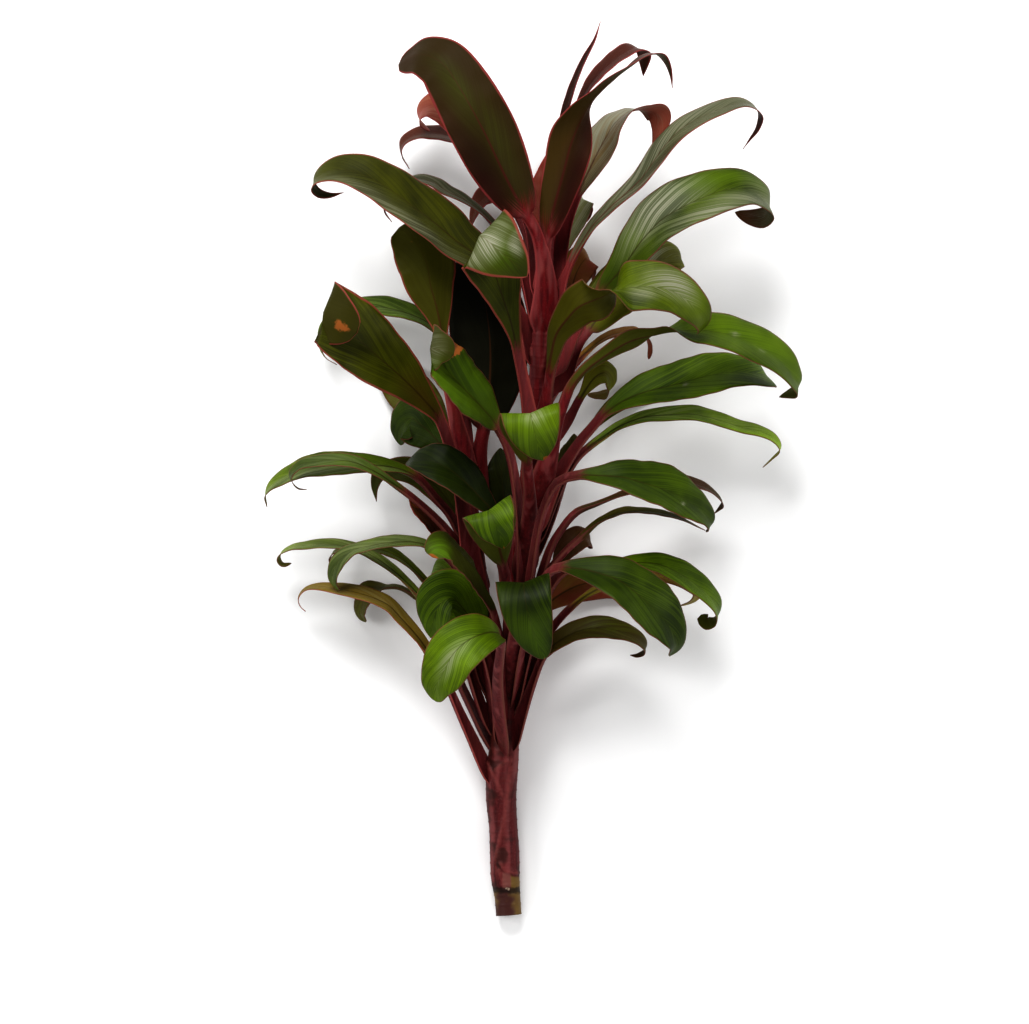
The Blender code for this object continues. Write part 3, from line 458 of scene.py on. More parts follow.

# Each leaf's light is partly its own tone and partly painted shade and light; side_shade and side_broad are
# near black to paint the deep shade that they lie in.
LEAF_TABLE = """
# The tip of the main shoot
spear bronze 8 0.3 0.5 1.2 1.1 0:50
light=0.5 red=0.5
9,157,78 13,206,86 20,244,92 25,263,97 30,277,100 36,291,103 43,304,104 47,316,105
crown_hook bronze 20 0.52 0.5 1.2 0.9 0:58
light=1.15 red=0.7 edge=1.6
11,149,74 16,207,76 23,235,79 30,253,82 36,267,84 44,278,86 53,287,87 62,294,87 71,299,84 77,297,76
78,290,67 78,281,58
crown_twist bronze 32 0.19 0.42 0.8 1.15 0:180 0.42:180 0.64:98 1:52
light=1.05 edge=1.8 shade=0.24,0.5,0.6,0.9,0.5 flushed=0.24,0.7,0.7,1.2,0.9 bloom=0.86,0,0.12,2,0.35
9,122,80 8,149,86 10,164,92 13,179,98 17,195,104 22,213,110 26,229,114 31,243,116 37,255,117 45,265,117
56,275,116 68,284,113 79,292,108 88,293,101 94,287,94 97,279,89 98,271,84
crown_paddle bronze 46 0.36 0.44 0.68 0.4 0:180
light=0.68 edge=2.4 bright=0.6,-0.1,0.3,0.7,0.22 bright=0.35,0.3,0.35,0.6,0.15 shade=0.25,-0.6,0.35,0.8,0.4
flushed=0.2,-0.8,0.5,0.9,0.8 flushed=0.95,0,0.12,1.5,0.3
6,91,78 9,122,85 8,146,90 3,167,97 -5,182,103 -15,199,109 -24,217,114 -33,236,117 -42,253,118 -51,269,116
-61,284,113 -71,291,108 -80,293,100 -88,290,90 -94,287,82
crown_sheen dusky 30 0.37 0.46 1 0.9 0:30 0.55:32 0.79:86 0.88:125 1:140
light=3.4 red=0.55 shade=0.3,-0.9,0.5,0.7,0.4 shade=0.9,0,0.25,2,-0.9 flushed=0.3,-0.9,0.5,0.8,0.9
bloom=0.42,0.7,0.5,1.2,1.6 bloom=0.5,0,1,3,0.35
13,130,70 22,168,71 32,197,74 38,211,76 45,225,78 51,236,80 58,247,81 67,254,80 75,256,78 84,255,74
89,251,70 89,244,66 87,238,62 84,232,58
# Leaves that lean right
right_reach dusky 20 0.14 0.55 0.8 1.3 0:46 0.85:48 1:56
light=0.8 shade=1,0,0.14,2,-1.5 flushed=0.35,-1,0.3,0.8,0.9 flushed=1,0,0.12,2,1 bloom=0.45,0.6,0.5,1,0.35
14,115,80 27,149,83 40,172,86 52,185,89 63,195,92 75,206,95 85,220,98 93,231,99 103,241,99 116,249,98
129,255,95 144,260,90 154,258,83 160,252,75 158,243,69 153,236,65 148,229,61
right_gloss green 43 0.26 0.46 0.95 0.65 0:36
light=0.85 warm=0.15 edge=1.4 bright=0.6,0.6,0.3,0.5,0.7 bright=0.25,0.5,0.15,0.8,0.4 shade=1,0,0.2,3,-2
flushed=0.97,0,0.16,3,1 bloom=0.36,0.5,0.28,1.2,1 bloom=0.6,-0.7,0.4,0.8,0.9 bloom=0.85,0,0.2,2,0.7
12,66,80 30,101,86 41,117,90 51,131,94 63,145,98 75,162,102 89,177,105 105,187,107 121,194,106 137,199,102
151,199,96 162,193,89 166,187,82 162,181,76 152,181,73 142,184,71
right_under green 44 0.35 0.5 0.66 0.75 0:22
light=1.6 red=0.3 warm=0.35 bloom=0.66,0.3,0.3,1,0.9
13,56,72 30,89,68 42,105,66 53,121,64 66,133,62 81,145,59 95,153,55 104,153,49 105,146,42
right_turned green 38 0.26 0.6 0.8 0.55 0:168 0.56:160 0.63:90 0.69:22 1:16
light=1.15 warm=0.4 edge=1.8 bright=0.85,0.2,0.2,1,0.3 bloom=0.74,0.3,0.16,0.9,1.2
bloom=0.62,-0.3,0.1,0.5,0.7
5,16,68 8,44,84 11,66,96 14,85,108 17,98,118 24,108,130 32,116,141 43,121,148 52,125,153 63,128,155
74,129,156 85,129,156 97,126,152 108,119,146 116,111,139 118,103,132 114,97,127
right_long green 38 0.31 0.66 0.85 0.8 0:150 0.48:145 0.57:95 0.65:45 1:42
light=1.15 warm=0.1 bright=0.7,0.3,0.35,1,0.4 bloom=0.62,0.1,0.02,0.15,1 bloom=0.72,-0.2,0.015,0.12,1
0,-26,60 9,3,78 16,31,90 22,50,97 27,62,101 36,73,105 48,82,108 61,90,110 72,95,112 84,98,113 95,100,113
107,100,113 120,100,112 134,98,110 146,94,107 159,88,104 172,80,100 181,70,95 186,61,88 180,57,82 173,54,78
right_flat green 39 0.44 0.5 1 0.25 0:43
light=1.5 bloom=0.45,-0.1,0.025,0.12,1.3
-2,-50,54 10,-20,64 20,2,68 32,21,69 42,33,70 51,43,71 64,52,72 79,58,73 95,62,74 110,66,74 126,70,73
140,72,70 153,72,65 161,71,58 165,70,50 166,67,43
right_slim green 16 0.34 0.5 1.1 0.7 0:48
light=3.8 warm=0.1 bloom=0.5,0.3,0.8,2,0.5
-2,-57,53 9,-31,57 20,-7,57 30,10,56 39,19,55 50,27,54 61,34,54 76,40,54 90,42,54 111,43,54 122,41,53
133,38,51 146,34,50 159,31,48 170,26,45 175,18,40 169,11,36 163,5,33
right_broad green 42 0.63 0.55 0.9 0.65 0:44
light=0.75 bloom=0.68,-0.3,0.02,0.12,1.2
-13,-154,29 -8,-117,58 -3,-80,82 3,-40,99 10,-17,108 18,-5,114 32,-1,118 47,-1,121 62,-2,122 76,-6,120
92,-11,116 107,-18,111 119,-27,105 124,-35,101 121,-40,97
right_behind green 17 0.46 0.6 1.5 1 0:60
light=0.9 red=0.9
-9,-120,37 1,-90,52 11,-55,60 21,-37,62 31,-26,63 45,-20,64 59,-15,65 73,-11,65 89,-7,63 106,-5,60 119,-8,56
128,-13,52 134,-20,48 132,-24,44 128,-28,41
right_thread green 14 0.55 0.5 1 0.9 0:70
light=1.3 red=0.6
-11,-142,32 -2,-104,56 9,-71,72 22,-54,79 34,-43,83 44,-34,86 54,-29,88 64,-26,88 75,-26,87 88,-27,86
103,-31,83 121,-39,79
right_low green 43 0.56 0.56 0.75 0.65 0:38
light=0.65
-15,-168,25 -9,-127,60 -2,-96,90 5,-77,106 12,-68,114 20,-65,119 33,-66,123 46,-69,126 60,-74,128 72,-83,127
84,-94,125 95,-106,121 100,-118,116 95,-127,112
right_curl green 25 0.45 0.62 1.2 0.6 0:45
light=1.7
-15,-173,24 -6,-134,50 4,-101,64 13,-79,70 23,-68,73 39,-64,75 55,-64,76 72,-62,76 88,-63,75 102,-69,73
113,-76,69 124,-85,64 130,-94,58 130,-101,52 125,-105,47 120,-102,43 124,-99,41
right_tuck green 18 0.44 0.6 1.2 0.4 0:25
light=3.4 red=0.8
-15,-175,23 -3,-141,35 10,-115,40 23,-98,42 40,-84,43 62,-74,42 83,-68,40 98,-70,38 111,-76,35 117,-82,32
114,-89,29 105,-93,27
right_foot green 20 0.45 0.42 0.8 0.8 0:42
light=1.1 red=0.65
-17,-200,18 -7,-168,38 1,-144,48 7,-129,52 16,-119,54 30,-111,55 46,-108,56 61,-110,55 72,-114,52 79,-120,47
79,-125,42 74,-128,38 69,-128,36
back_slip green 18 0.66 0.5 1 0.7 0:40
light=1.3 red=0.6
-6,-67,50 12,-33,46 21,-7,44 25,10,43 28,21,41 29,29,38
# Leaves that come up towards the eye and hang over
front_tongue green 38 0.46 0.5 0.7 0.55 0:0
light=0.55 bright=0.9,0,0.3,1.3,0.8 shade=0.5,0,0.3,1.5,0.55 wither=1,0,0.04,0.6,0.5
-14,-163,26 -13,-127,62 -12,-103,94 -11,-88,120 -8,-78,142 -7,-75,158 -6,-83,168 -4,-95,170 1,-112,163
8,-128,150
front_lobe green 37 0.61 0.52 0.8 0.55 0:-12
light=1.45 warm=0.1 bright=0.55,0,0.5,1.2,0.5 bloom=0.62,0,0.35,0.5,0.7
-20,-208,16 -24,-172,44 -25,-144,76 -23,-124,104 -22,-114,124 -25,-110,139 -33,-110,150 -45,-115,158
-55,-124,161 -61,-135,158 -67,-147,150 -67,-158,141
front_flag green 42 0.55 0.52 0.8 0.75 0:0
light=1.1 warm=0.2 edge=1.4 bright=0.62,0,0.45,1.6,0.9 bloom=0.6,0.1,0.12,0.6,0.7
wither=0.98,0.6,0.05,0.8,0.7
-8,-83,46 -3,-47,76 -2,-18,104 -4,6,122 -4,24,139 -4,37,156 -2,42,167 -1,37,173 1,28,171 4,18,163 7,9,152
front_fold mottled 52 0.45 0.62 0.8 0.75 0:180
edge=3 bright=0.8,0,0.3,1.6,0.5 shade=0.95,0,0.2,2,0.45 bloom=0.74,0.1,0.12,1.2,1.3
bloom=0.85,-0.6,0.08,0.5,1.2
-2,-19,60 -1,17,80 -4,48,95 -10,80,105 -15,104,114 -22,126,124 -29,146,135 -35,160,145 -37,164,152
-33,162,159 -24,154,162 -13,145,161 -4,136,158
left_bright green 50 0.63 0.47 0.75 0.5 0:180
light=0.85 edge=1.2 bright=0.55,0.6,0.5,0.8,0.9 bright=0.35,-0.5,0.35,0.6,0.4 bloom=0.84,0,0.14,1.2,0.5
wither=0.66,-0.85,0.2,0.7,1
-12,-118,37 -8,-74,64 -10,-25,88 -16,13,101 -25,33,110 -36,47,118 -49,60,127 -59,71,134 -67,81,140
-71,86,146 -67,86,152 -61,85,154 -55,82,153
front_nick green 38 0.57 0.52 0.8 0.75 0:0
light=1.3 wither=0.99,0,0.05,0.5,0.5
-15,-154,29 -14,-117,60 -17,-82,92 -22,-60,114 -26,-42,131 -29,-30,145 -31,-25,154 -29,-28,160 -26,-36,162
-22,-44,158 -20,-52,151
# Leaves of the main shoot that lean left
left_sweep mottled 43 0.24 0.42 0.9 1.1 0:-40
light=0.9 warm=0.15 edge=1.6 bloom=0.5,0.8,0.55,0.5,0.5
4,70,72 -6,105,69 -17,127,73 -27,142,77 -40,154,82 -53,163,86 -66,174,90 -85,188,94 -103,201,97 -120,210,98
-136,213,95 -148,210,89 -154,204,82 -151,198,76 -143,196,72 -133,198,70
left_grey dusky 15 0.39 0.5 1.4 1.1 0:-54
light=0.55
6,91,70 -10,150,60 -20,167,58 -28,177,56 -37,186,55 -49,194,53 -61,200,51 -70,206,49 -82,209,46 -95,205,42
-103,196,36 -105,187,31 -100,179,27
left_red_curl bronze 28 0.5 0.5 1.2 0.55 0:-40 0.6:-36 1:-10
light=4.8 red=0.95 edge=2.5 bloom=0.6,0,0.8,2,0.2
6,112,72 -1,169,62 -17,202,62 -37,230,60 -52,248,57 -63,258,53 -72,261,48 -79,257,42 -80,250,37 -73,243,33
left_red_arc bronze 23 0.48 0.5 1.2 0.7 0:-64 0.5:-60 1:-50
light=1.65 red=0.5 bloom=0.5,0.5,0.4,0.8,0.35
6,105,68 -2,162,46 -22,203,39 -44,230,36 -57,239,34 -71,242,32 -83,241,30 -92,235,28 -93,227,24 -88,217,20
left_small bronze 19 0.6 0.55 1.2 0.8 0:-14
light=1.95 red=0.6 edge=2
6,98,66 -1,148,40 -6,175,32 -13,192,29 -22,199,26 -31,199,23 -38,194,19 -42,186,15 -45,175,12
# Leaves of the side shoot
side_tall mottled 41 0.46 0.72 1.1 0.3 0:176
light=1.7 edge=2.4 wither=0.88,-0.1,0.06,0.45,0.3
-44,-21,43 -51,23,56 -59,61,62 -63,91,66 -67,114,69 -72,133,71 -75,149,71 -83,164,67 -94,174,60
side_shade mottled 56 0.28 0.5 0.65 0.7 0:180
light=0.2 edge=0.8
-44,-21,46 -39,10,45 -32,49,46 -30,88,46 -34,123,46 -42,150,43 -49,165,36
side_slip green 24 0.4 0.45 1 1.2 0:-54
light=1.85 flushed=1,0,0.15,2,0.9 bloom=0.5,0.3,1,2,0.2
-46,-4,44 -50,59,35 -57,86,31 -64,98,31 -73,107,31 -85,113,31 -98,117,32 -110,119,33 -122,118,34 -134,114,33
-144,108,31 -150,100,28 -151,91,25 -147,83,23 -139,78,21
side_paddle mottled 52 0.53 0.62 0.68 0.4 0:163
warm=0.1 edge=2.2 flushed=0.1,0,0.3,1.5,0.5 wither=0.92,0.1,0.09,0.5,0.34
-36,-117,31 -42,-74,54 -49,-26,68 -56,9,77 -65,37,86 -77,53,93 -91,67,101 -106,80,109 -121,93,116
-133,102,122 -143,110,127 -145,112,133 -138,107,137 -130,102,138 -122,98,136
side_droop green 34 0.52 0.5 1 0.6 0:0
light=0.55
-44,-46,42 -49,-11,35 -56,10,33 -65,21,31 -73,30,29 -80,36,28 -86,40,26 -91,37,23 -94,30,19 -94,21,16
side_broad green 33 0.55 0.55 0.8 0.7 0:-32
light=0.25 bright=0.6,0.2,0.3,0.6,0.06
-12,-125,35 -18,-88,56 -23,-54,74 -28,-28,86 -38,-15,94 -50,-3,100 -61,5,102 -72,10,100 -82,11,93 -89,8,84
side_long green 25 0.47 0.5 1.1 0.8 0:-48
light=1.6 warm=0.2 bloom=0.5,0.5,1,1,0.4
-37,-99,34 -42,-66,46 -50,-45,53 -58,-29,58 -68,-17,63 -79,-4,67 -91,3,71 -105,6,74 -118,7,75 -132,7,75
-146,6,74 -161,4,70 -174,-1,64 -184,-7,57 -189,-14,50 -188,-23,45
side_slim green 13 0.56 0.5 1.1 1.1 0:-45
light=0.9 bloom=0.5,0,1,3,0.2
-35,-124,29 -43,-83,48 -51,-54,61 -60,-40,68 -72,-27,76 -86,-15,83 -97,-7,87 -109,1,90 -124,8,92 -138,10,92
-152,9,91 -162,7,89 -169,1,87 -169,-5,83 -165,-10,78 -159,-11,75
side_dark green 21 0.33 0.45 0.9 1 0:-12
light=0.75 red=0.4
-37,-89,34 -40,-60,31 -43,-44,29 -49,-32,28 -58,-21,28 -68,-9,29 -81,1,30 -95,4,30 -108,1,28 -112,-8,25
-111,-19,21
side_brown bronze 24 0.5 0.6 1 0.75 0:-62
light=2.2 wither=0.95,0,0.2,1.5,0.9
-37,-103,32 -49,-77,41 -57,-59,45 -64,-46,48 -72,-35,50 -80,-25,49 -87,-16,46
side_cupped green 34 0.57 0.6 0.55 0.4 0:168
light=0.75 rib_at=-0.9 bright=0.92,-0.1,0.2,1.6,1.2 wither=1,0,0.05,1.5,0.35
-19,-186,21 -22,-145,50 -23,-120,66 -27,-101,78 -32,-86,90 -38,-72,101 -46,-61,110 -54,-53,118 -61,-50,124
-67,-53,128 -70,-58,129
# Low leaves on the left
low_arch green 15 0.5 0.5 0.7 0.4 0:-52 0.5:-54 0.78:-56 0.9:-14 1:-10
light=1.3 warm=0.2 bloom=0.5,0,1,3,0.35
-33,-138,26 -41,-97,50 -50,-72,60 -60,-58,66 -69,-52,69 -80,-48,72 -91,-47,73 -103,-48,73 -114,-50,71
-126,-53,68 -135,-59,64 -140,-67,59 -141,-75,54 -137,-82,50
low_whip green 14 0.47 0.5 0.8 0.6 0:-60
light=2.4 warm=0.3 bloom=0.5,0,1,3,0.45
-25,-194,15 -37,-163,25 -47,-133,34 -57,-110,42 -66,-98,45 -76,-90,47 -86,-79,49 -99,-67,50 -112,-58,50
-123,-53,49 -135,-50,48 -148,-49,47 -160,-50,45 -170,-51,41 -178,-55,36 -180,-60,32 -177,-64,30 -171,-63,29
low_thread green 14 0.49 0.5 1 0.7 0:-62
light=1.55 red=0.3
-32,-160,20 -44,-123,29 -59,-97,32 -72,-80,33 -83,-68,34 -94,-59,34 -105,-54,33 -118,-52,32 -131,-53,30
-140,-54,27 -144,-59,23 -143,-65,20
low_bronze mottled 15 0.47 0.45 0.65 1.3 0:-48
light=2.6 red=0.4 warm=0.4 edge=0.5 bloom=0.5,0,1,3,0.25
-21,-231,11 -33,-210,17 -43,-188,25 -52,-168,32 -59,-152,37 -68,-137,41 -76,-122,43 -85,-110,46 -93,-101,48
-102,-92,49 -115,-86,49 -129,-82,48 -140,-80,45 -152,-79,40 -161,-81,36 -166,-87,33 -165,-93,31 -161,-97,30
low_tip green 20 0.66 0.6 1.2 0.5 0:-76 0.79:-76 0.89:-25 1:-20
light=1.45 red=0.6
-25,-205,14 -41,-170,21 -52,-146,26 -62,-117,26 -72,-95,25 -84,-85,24 -96,-80,23 -108,-81,21 -118,-85,18
-122,-92,14 -123,-99,11 -119,-105,9
low_cup green 42 0.5 0.5 0.8 0.8 0:-10
light=1.2 wither=0.6,0,0.07,0.3,0.28
-21,-197,18 -26,-156,40 -34,-125,56 -42,-105,67 -50,-93,75 -57,-87,80 -64,-90,81 -69,-99,77 -72,-115,67
low_small green 22 0.57 0.5 1 0.6 0:-30
light=3.2 bloom=0.5,0,1,3,0.4
-32,-154,22 -38,-117,22 -45,-93,23 -53,-79,24 -61,-68,24 -68,-65,22 -72,-70,17
# Leaves behind the shoots
back_thorn green 14 0.39 0.5 1.1 0.5 0:60
light=6 red=1 flushed=0.5,0,1,3,1
5,44,70 18,63,58 33,82,51 43,91,48 54,98,46 66,101,44 75,102,41 81,97,37 83,90,32 82,82,27
back_hook green 22 0.48 0.6 1 0.6 0:12
light=3.05 red=0.5
1,14,64 23,36,50 33,53,40 43,68,34 51,72,31 55,66,27 54,59,23 47,57,20 39,57,17
back_grey dusky 26 0.4 0.55 1 0.75 0:20
light=2.7 bloom=0.5,0,1,3,0.4
8,112,76 15,133,66 21,157,54 27,180,48 33,195,43 38,191,37 38,179,31
back_green green 26 0.42 0.55 1 0.75 0:20
light=3.4 red=1
7,84,74 17,105,58 25,123,48 31,143,42 38,153,38 42,148,33 43,136,28
back_drop green 20 0.52 0.6 1 0.6 0:20
light=1.1 red=0.9
-10,-124,36 4,-92,40 14,-72,36 21,-57,32 28,-48,30 36,-44,27 41,-47,22 39,-51,17
back_veined green 25 0.46 0.5 0.9 0.75 0:0
light=0.4 red=0.3
-12,-74,44 -16,-46,41 -20,-21,41 -22,0,40 -23,19,37
# Leaves that the plant lies on
table_left green 33 0.35 0.5 1 0.75 0:0
light=1.45 red=0.5
-47,-4,40 -53,13,26 -62,29,16 -73,44,10 -87,58,5 -100,72,3 -114,86,2
table_right green 14 0.33 0.6 1.6 0.75 0:0
light=1.5
0,-17,57 10,1,42 26,18,26 41,33,14 59,50,7 80,60,3 112,69,2
table_top bronze 30 0.4 0.5 1 0.75 0:0
light=2.55 red=0.8
8,112,72 9,150,44 9,183,14 16,213,5 24,244,2
table_low green 26 0.4 0.5 1 0.75 0:0
light=3.4 red=1
-15,-149,30 -5,-121,18 7,-96,8 27,-81,4 48,-76,3 66,-81,2 81,-92,2
"""


# %% Read the table
def read_leaves(table):
    """The leaves of a table: a row of words starts a leaf, and the rows after it add looks and points."""
    leaves = []
    for row in table.strip().split("\n"):
        words = row.split()
        if row[0] == "#":
            continue
        if not row[0].isalpha():
            leaves[-1].points.extend([float(n) for n in word.split(",")] for word in words)
        elif "=" in words[0]:
            for word in words:
                key, numbers = word.split("=")
                numbers = [float(n) for n in numbers.split(",")]
                if key in SPOT_KINDS:
                    leaves[-1].spots[key].append(numbers)
                else:
                    leaves[-1].looks[key] = numbers[0]
        else:
            name, tone, width, start, *shape = words[:7]
            facing = [[float(n) for n in word.split(":")] for word in words[7:]]
            shape = [float(n) for n in shape]
            looks = {"light": 1.0, "red": 0.0, "warm": 0.0, "edge": 1.0, "rib_at": 0.0}
            spots = {kind: [] for kind in SPOT_KINDS}
            leaves.append(Leaf(name, tone, float(width), float(start), shape, facing, looks, spots, []))
    return leaves


LEAVES = read_leaves(LEAF_TABLE)
print(len(LEAVES), "leaves, the widest", max(leaf.width for leaf in LEAVES), "mm wide")

# %% [markdown]
# ## The rib of a leaf
# A leaf is easiest to describe by its midrib: a smooth line through a few points, and the way that the
# upper face turns along it. The face is carried along the line without any twist of its own, from the
# blade's highest point both ways, and the leaf's own turn is added. The same numbers place the solids of
# the model, so the fine leaf lies where they are.

# %% Smooth lines
SPAN_SAMPLES = 16
RIB_SAMPLES = 240
UP = Vector((0, 0, 1))


def smooth_path(points, samples):
    """Points at even distances along a smooth curve through the given ones, and the curve's length."""
    knots = [Vector(p) for p in points]
    knots = [2 * knots[0] - knots[1], *knots, 2 * knots[-1] - knots[-2]]
    fine = []
    for a, b, c, d in zip(knots, knots[1:], knots[2:], knots[3:]):
        for k in range(SPAN_SAMPLES):
            t = k / SPAN_SAMPLES
            bow = 2 * a - 5 * b + 4 * c - d
            twist = 3 * b - a - 3 * c + d
            fine.append(0.5 * (2 * b + (c - a) * t + bow * t**2 + twist * t**3))
    fine.append(knots[-2])
    run = [0.0]
    for p, q in zip(fine, fine[1:]):
        run.append(run[-1] + (q - p).length)
    even, at = [], 0
    for k in range(samples + 1):
        want = run[-1] * k / samples
        while at < len(run) - 2 and run[at + 1] < want:
            at += 1
        step = run[at + 1] - run[at]
        even.append(fine[at].lerp(fine[at + 1], min(max((want - run[at]) / step, 0), 1)))
    return even, run[-1]


def smoothstep(x):
    x = min(max(x, 0), 1)
    return x * x * (3 - 2 * x)


def facing_at(leaf, share):
    """The leaf's facing in degrees at this share of its rib."""
    for (before, here), (after, there) in zip(leaf.facing, leaf.facing[1:]):
        if share <= after:
            return here + (there - here) * smoothstep((share - before) / (after - before))
    return leaf.facing[-1][1]


# %% The rib
class Rib:
    """A leaf's midrib: where it runs, and which way the leaf's side and upper face point along it."""

    def __init__(self, leaf):
        self.points, self.length = smooth_path(leaf.points, RIB_SAMPLES)
        last = RIB_SAMPLES
        ahead = [self.points[min(i + 1, last)] for i in range(last + 1)]
        behind = [self.points[max(i - 1, 0)] for i in range(last + 1)]
        self.ways = [(to - fro).normalized() for to, fro in zip(ahead, behind)]
        crest = max(range(round(last * leaf.start), last), key=lambda i: self.points[i].z)
        way = self.ways[crest]
        flat = {crest: (UP - way * way.z).normalized()}
        for i in range(crest + 1, last + 1):
            flat[i] = self.ways[i - 1].rotation_difference(self.ways[i]) @ flat[i - 1]
        for i in range(crest - 1, -1, -1):
            flat[i] = self.ways[i + 1].rotation_difference(self.ways[i]) @ flat[i + 1]
        self.normals = []
        for i, way in enumerate(self.ways):
            roll = -math.radians(facing_at(leaf, i / last))
            self.normals.append(Quaternion(way, roll) @ flat[i])

    def at(self, share):
        """The point, the sideways direction and the upper face's normal at this share of the length."""
        place = min(max(share, 0), 1) * RIB_SAMPLES
        i = min(int(place), RIB_SAMPLES - 1)
        part = place - i
        point = self.points[i].lerp(self.points[i + 1], part)
        way = self.ways[i].lerp(self.ways[i + 1], part).normalized()
        normal = self.normals[i].lerp(self.normals[i + 1], part)
        normal = (normal - way * normal.dot(way)).normalized()
        return point, normal.cross(way), normal


# %% [markdown]
# ## The sections of a leaf
# Across the leaf, the stalk is a thick channel whose thin edges wrap the shoot, and the blade is a thin
# open fold with a thick midrib. The one passes smoothly into the other. The widths follow the same rules as
# the solids. Only the small things are new here: round channels, a sheath that narrows to its foot, a
# groove over the midrib, margins that wave and turn under, and a little unevenness all over.

# %% Widths and thicknesses, in millimetres
CLASP_HALF_WIDTH = 6.0
CLASP_PER_WIDTH = 0.12
CLASP_SHARE = 0.9
FOOT_HALF_WIDTH = 1.7
FOOT_PER_WIDTH = 0.055
FOOT_REACH = 0.25
FOOT_FALL = 6
FOOT_FOLD = math.radians(17)
TIP_FOLD = math.radians(8)
STALK_LIFT = 1.6
WAVE_PER_HALF_WIDTH = 0.045
WAVES = 2.5
WAVE_REACH = 0.3
RUFFLE_SHARE = 0.35
RUFFLES = 3.3 * WAVES
STALK_EDGE = 0.9
STALK_MIDDLE = 3.2
BLADE_EDGE = 0.5
BLADE_MIDRIB = 1.9
MIDRIB_FADE = 0.8
MIDRIB_HALF_WIDTH = 1.6
GROOVE = 0.35
GROOVE_HALF_WIDTH = 0.9
MARGIN_TURN = 0.05
UNEVEN = 0.45
UNEVEN_SCALE = 0.045
CHANNEL_ANGLE = 1.0
CHANNEL_DEPTH = 0.55
SHEATH_END = 0.3
SHEATH_REACH = 0.22
THINNEST = 0.15


def foot_half_width(leaf):
    return FOOT_HALF_WIDTH + FOOT_PER_WIDTH * leaf.width


def stalk_half_width(leaf, share_of_stalk):
    clasp = 1 - smoothstep(share_of_stalk / CLASP_SHARE)
    wide = CLASP_HALF_WIDTH + CLASP_PER_WIDTH * leaf.width
    return foot_half_width(leaf) + (wide - foot_half_width(leaf)) * clasp


def blade_half_width(leaf, u):
    widest, slender, pointed = leaf.shape
    bend = math.log(0.5) / math.log(widest)
    belly = math.sin(math.pi * u**bend) ** (slender + (pointed - slender) * u)
    return max(leaf.width / 2 * belly + foot_half_width(leaf) * (1 - u) ** FOOT_FALL, THINNEST)


# %% [markdown]
# ## A pattern leaf
# All leaves start from one flat pattern, as cut from card: a grid that is pulled down to a slab in edit
# mode, so that it has an upper face, an underside and a rim, with its faces pointing outwards. Its first
# rows are the stalk and the others the blade. Each leaf is a copy whose points are laid along its rib by
# code, because no modifier bends, folds and tapers along a free line and keeps the model's exact widths.

# %% Model the flat pattern
STALK_ROWS = 22
BLADE_ROWS = 84
COLUMNS = 14
ROWS = STALK_ROWS + BLADE_ROWS

bpy.ops.object.select_all(action="DESELECT")
bpy.ops.mesh.primitive_grid_add(x_subdivisions=COLUMNS, y_subdivisions=ROWS, size=2, location=(0, 0, 0))
pattern = bpy.context.object
pattern.name = "pattern_leaf"
bpy.ops.object.mode_set(mode="EDIT")
bpy.ops.mesh.select_all(action="SELECT")
bpy.ops.transform.translate(value=(0, 1, 0))
bpy.ops.transform.resize(value=(1, ROWS / 2, 1), center_override=(0, 0, 0))
bpy.ops.mesh.extrude_region_move(TRANSFORM_OT_translate={"value": (0, 0, -1)})
bpy.ops.mesh.select_all(action="SELECT")
bpy.ops.mesh.normals_make_consistent(inside=False)
bpy.ops.object.mode_set(mode="OBJECT")
print("pattern leaf:", len(pattern.data.vertices), "points,", len(pattern.data.polygons), "faces")


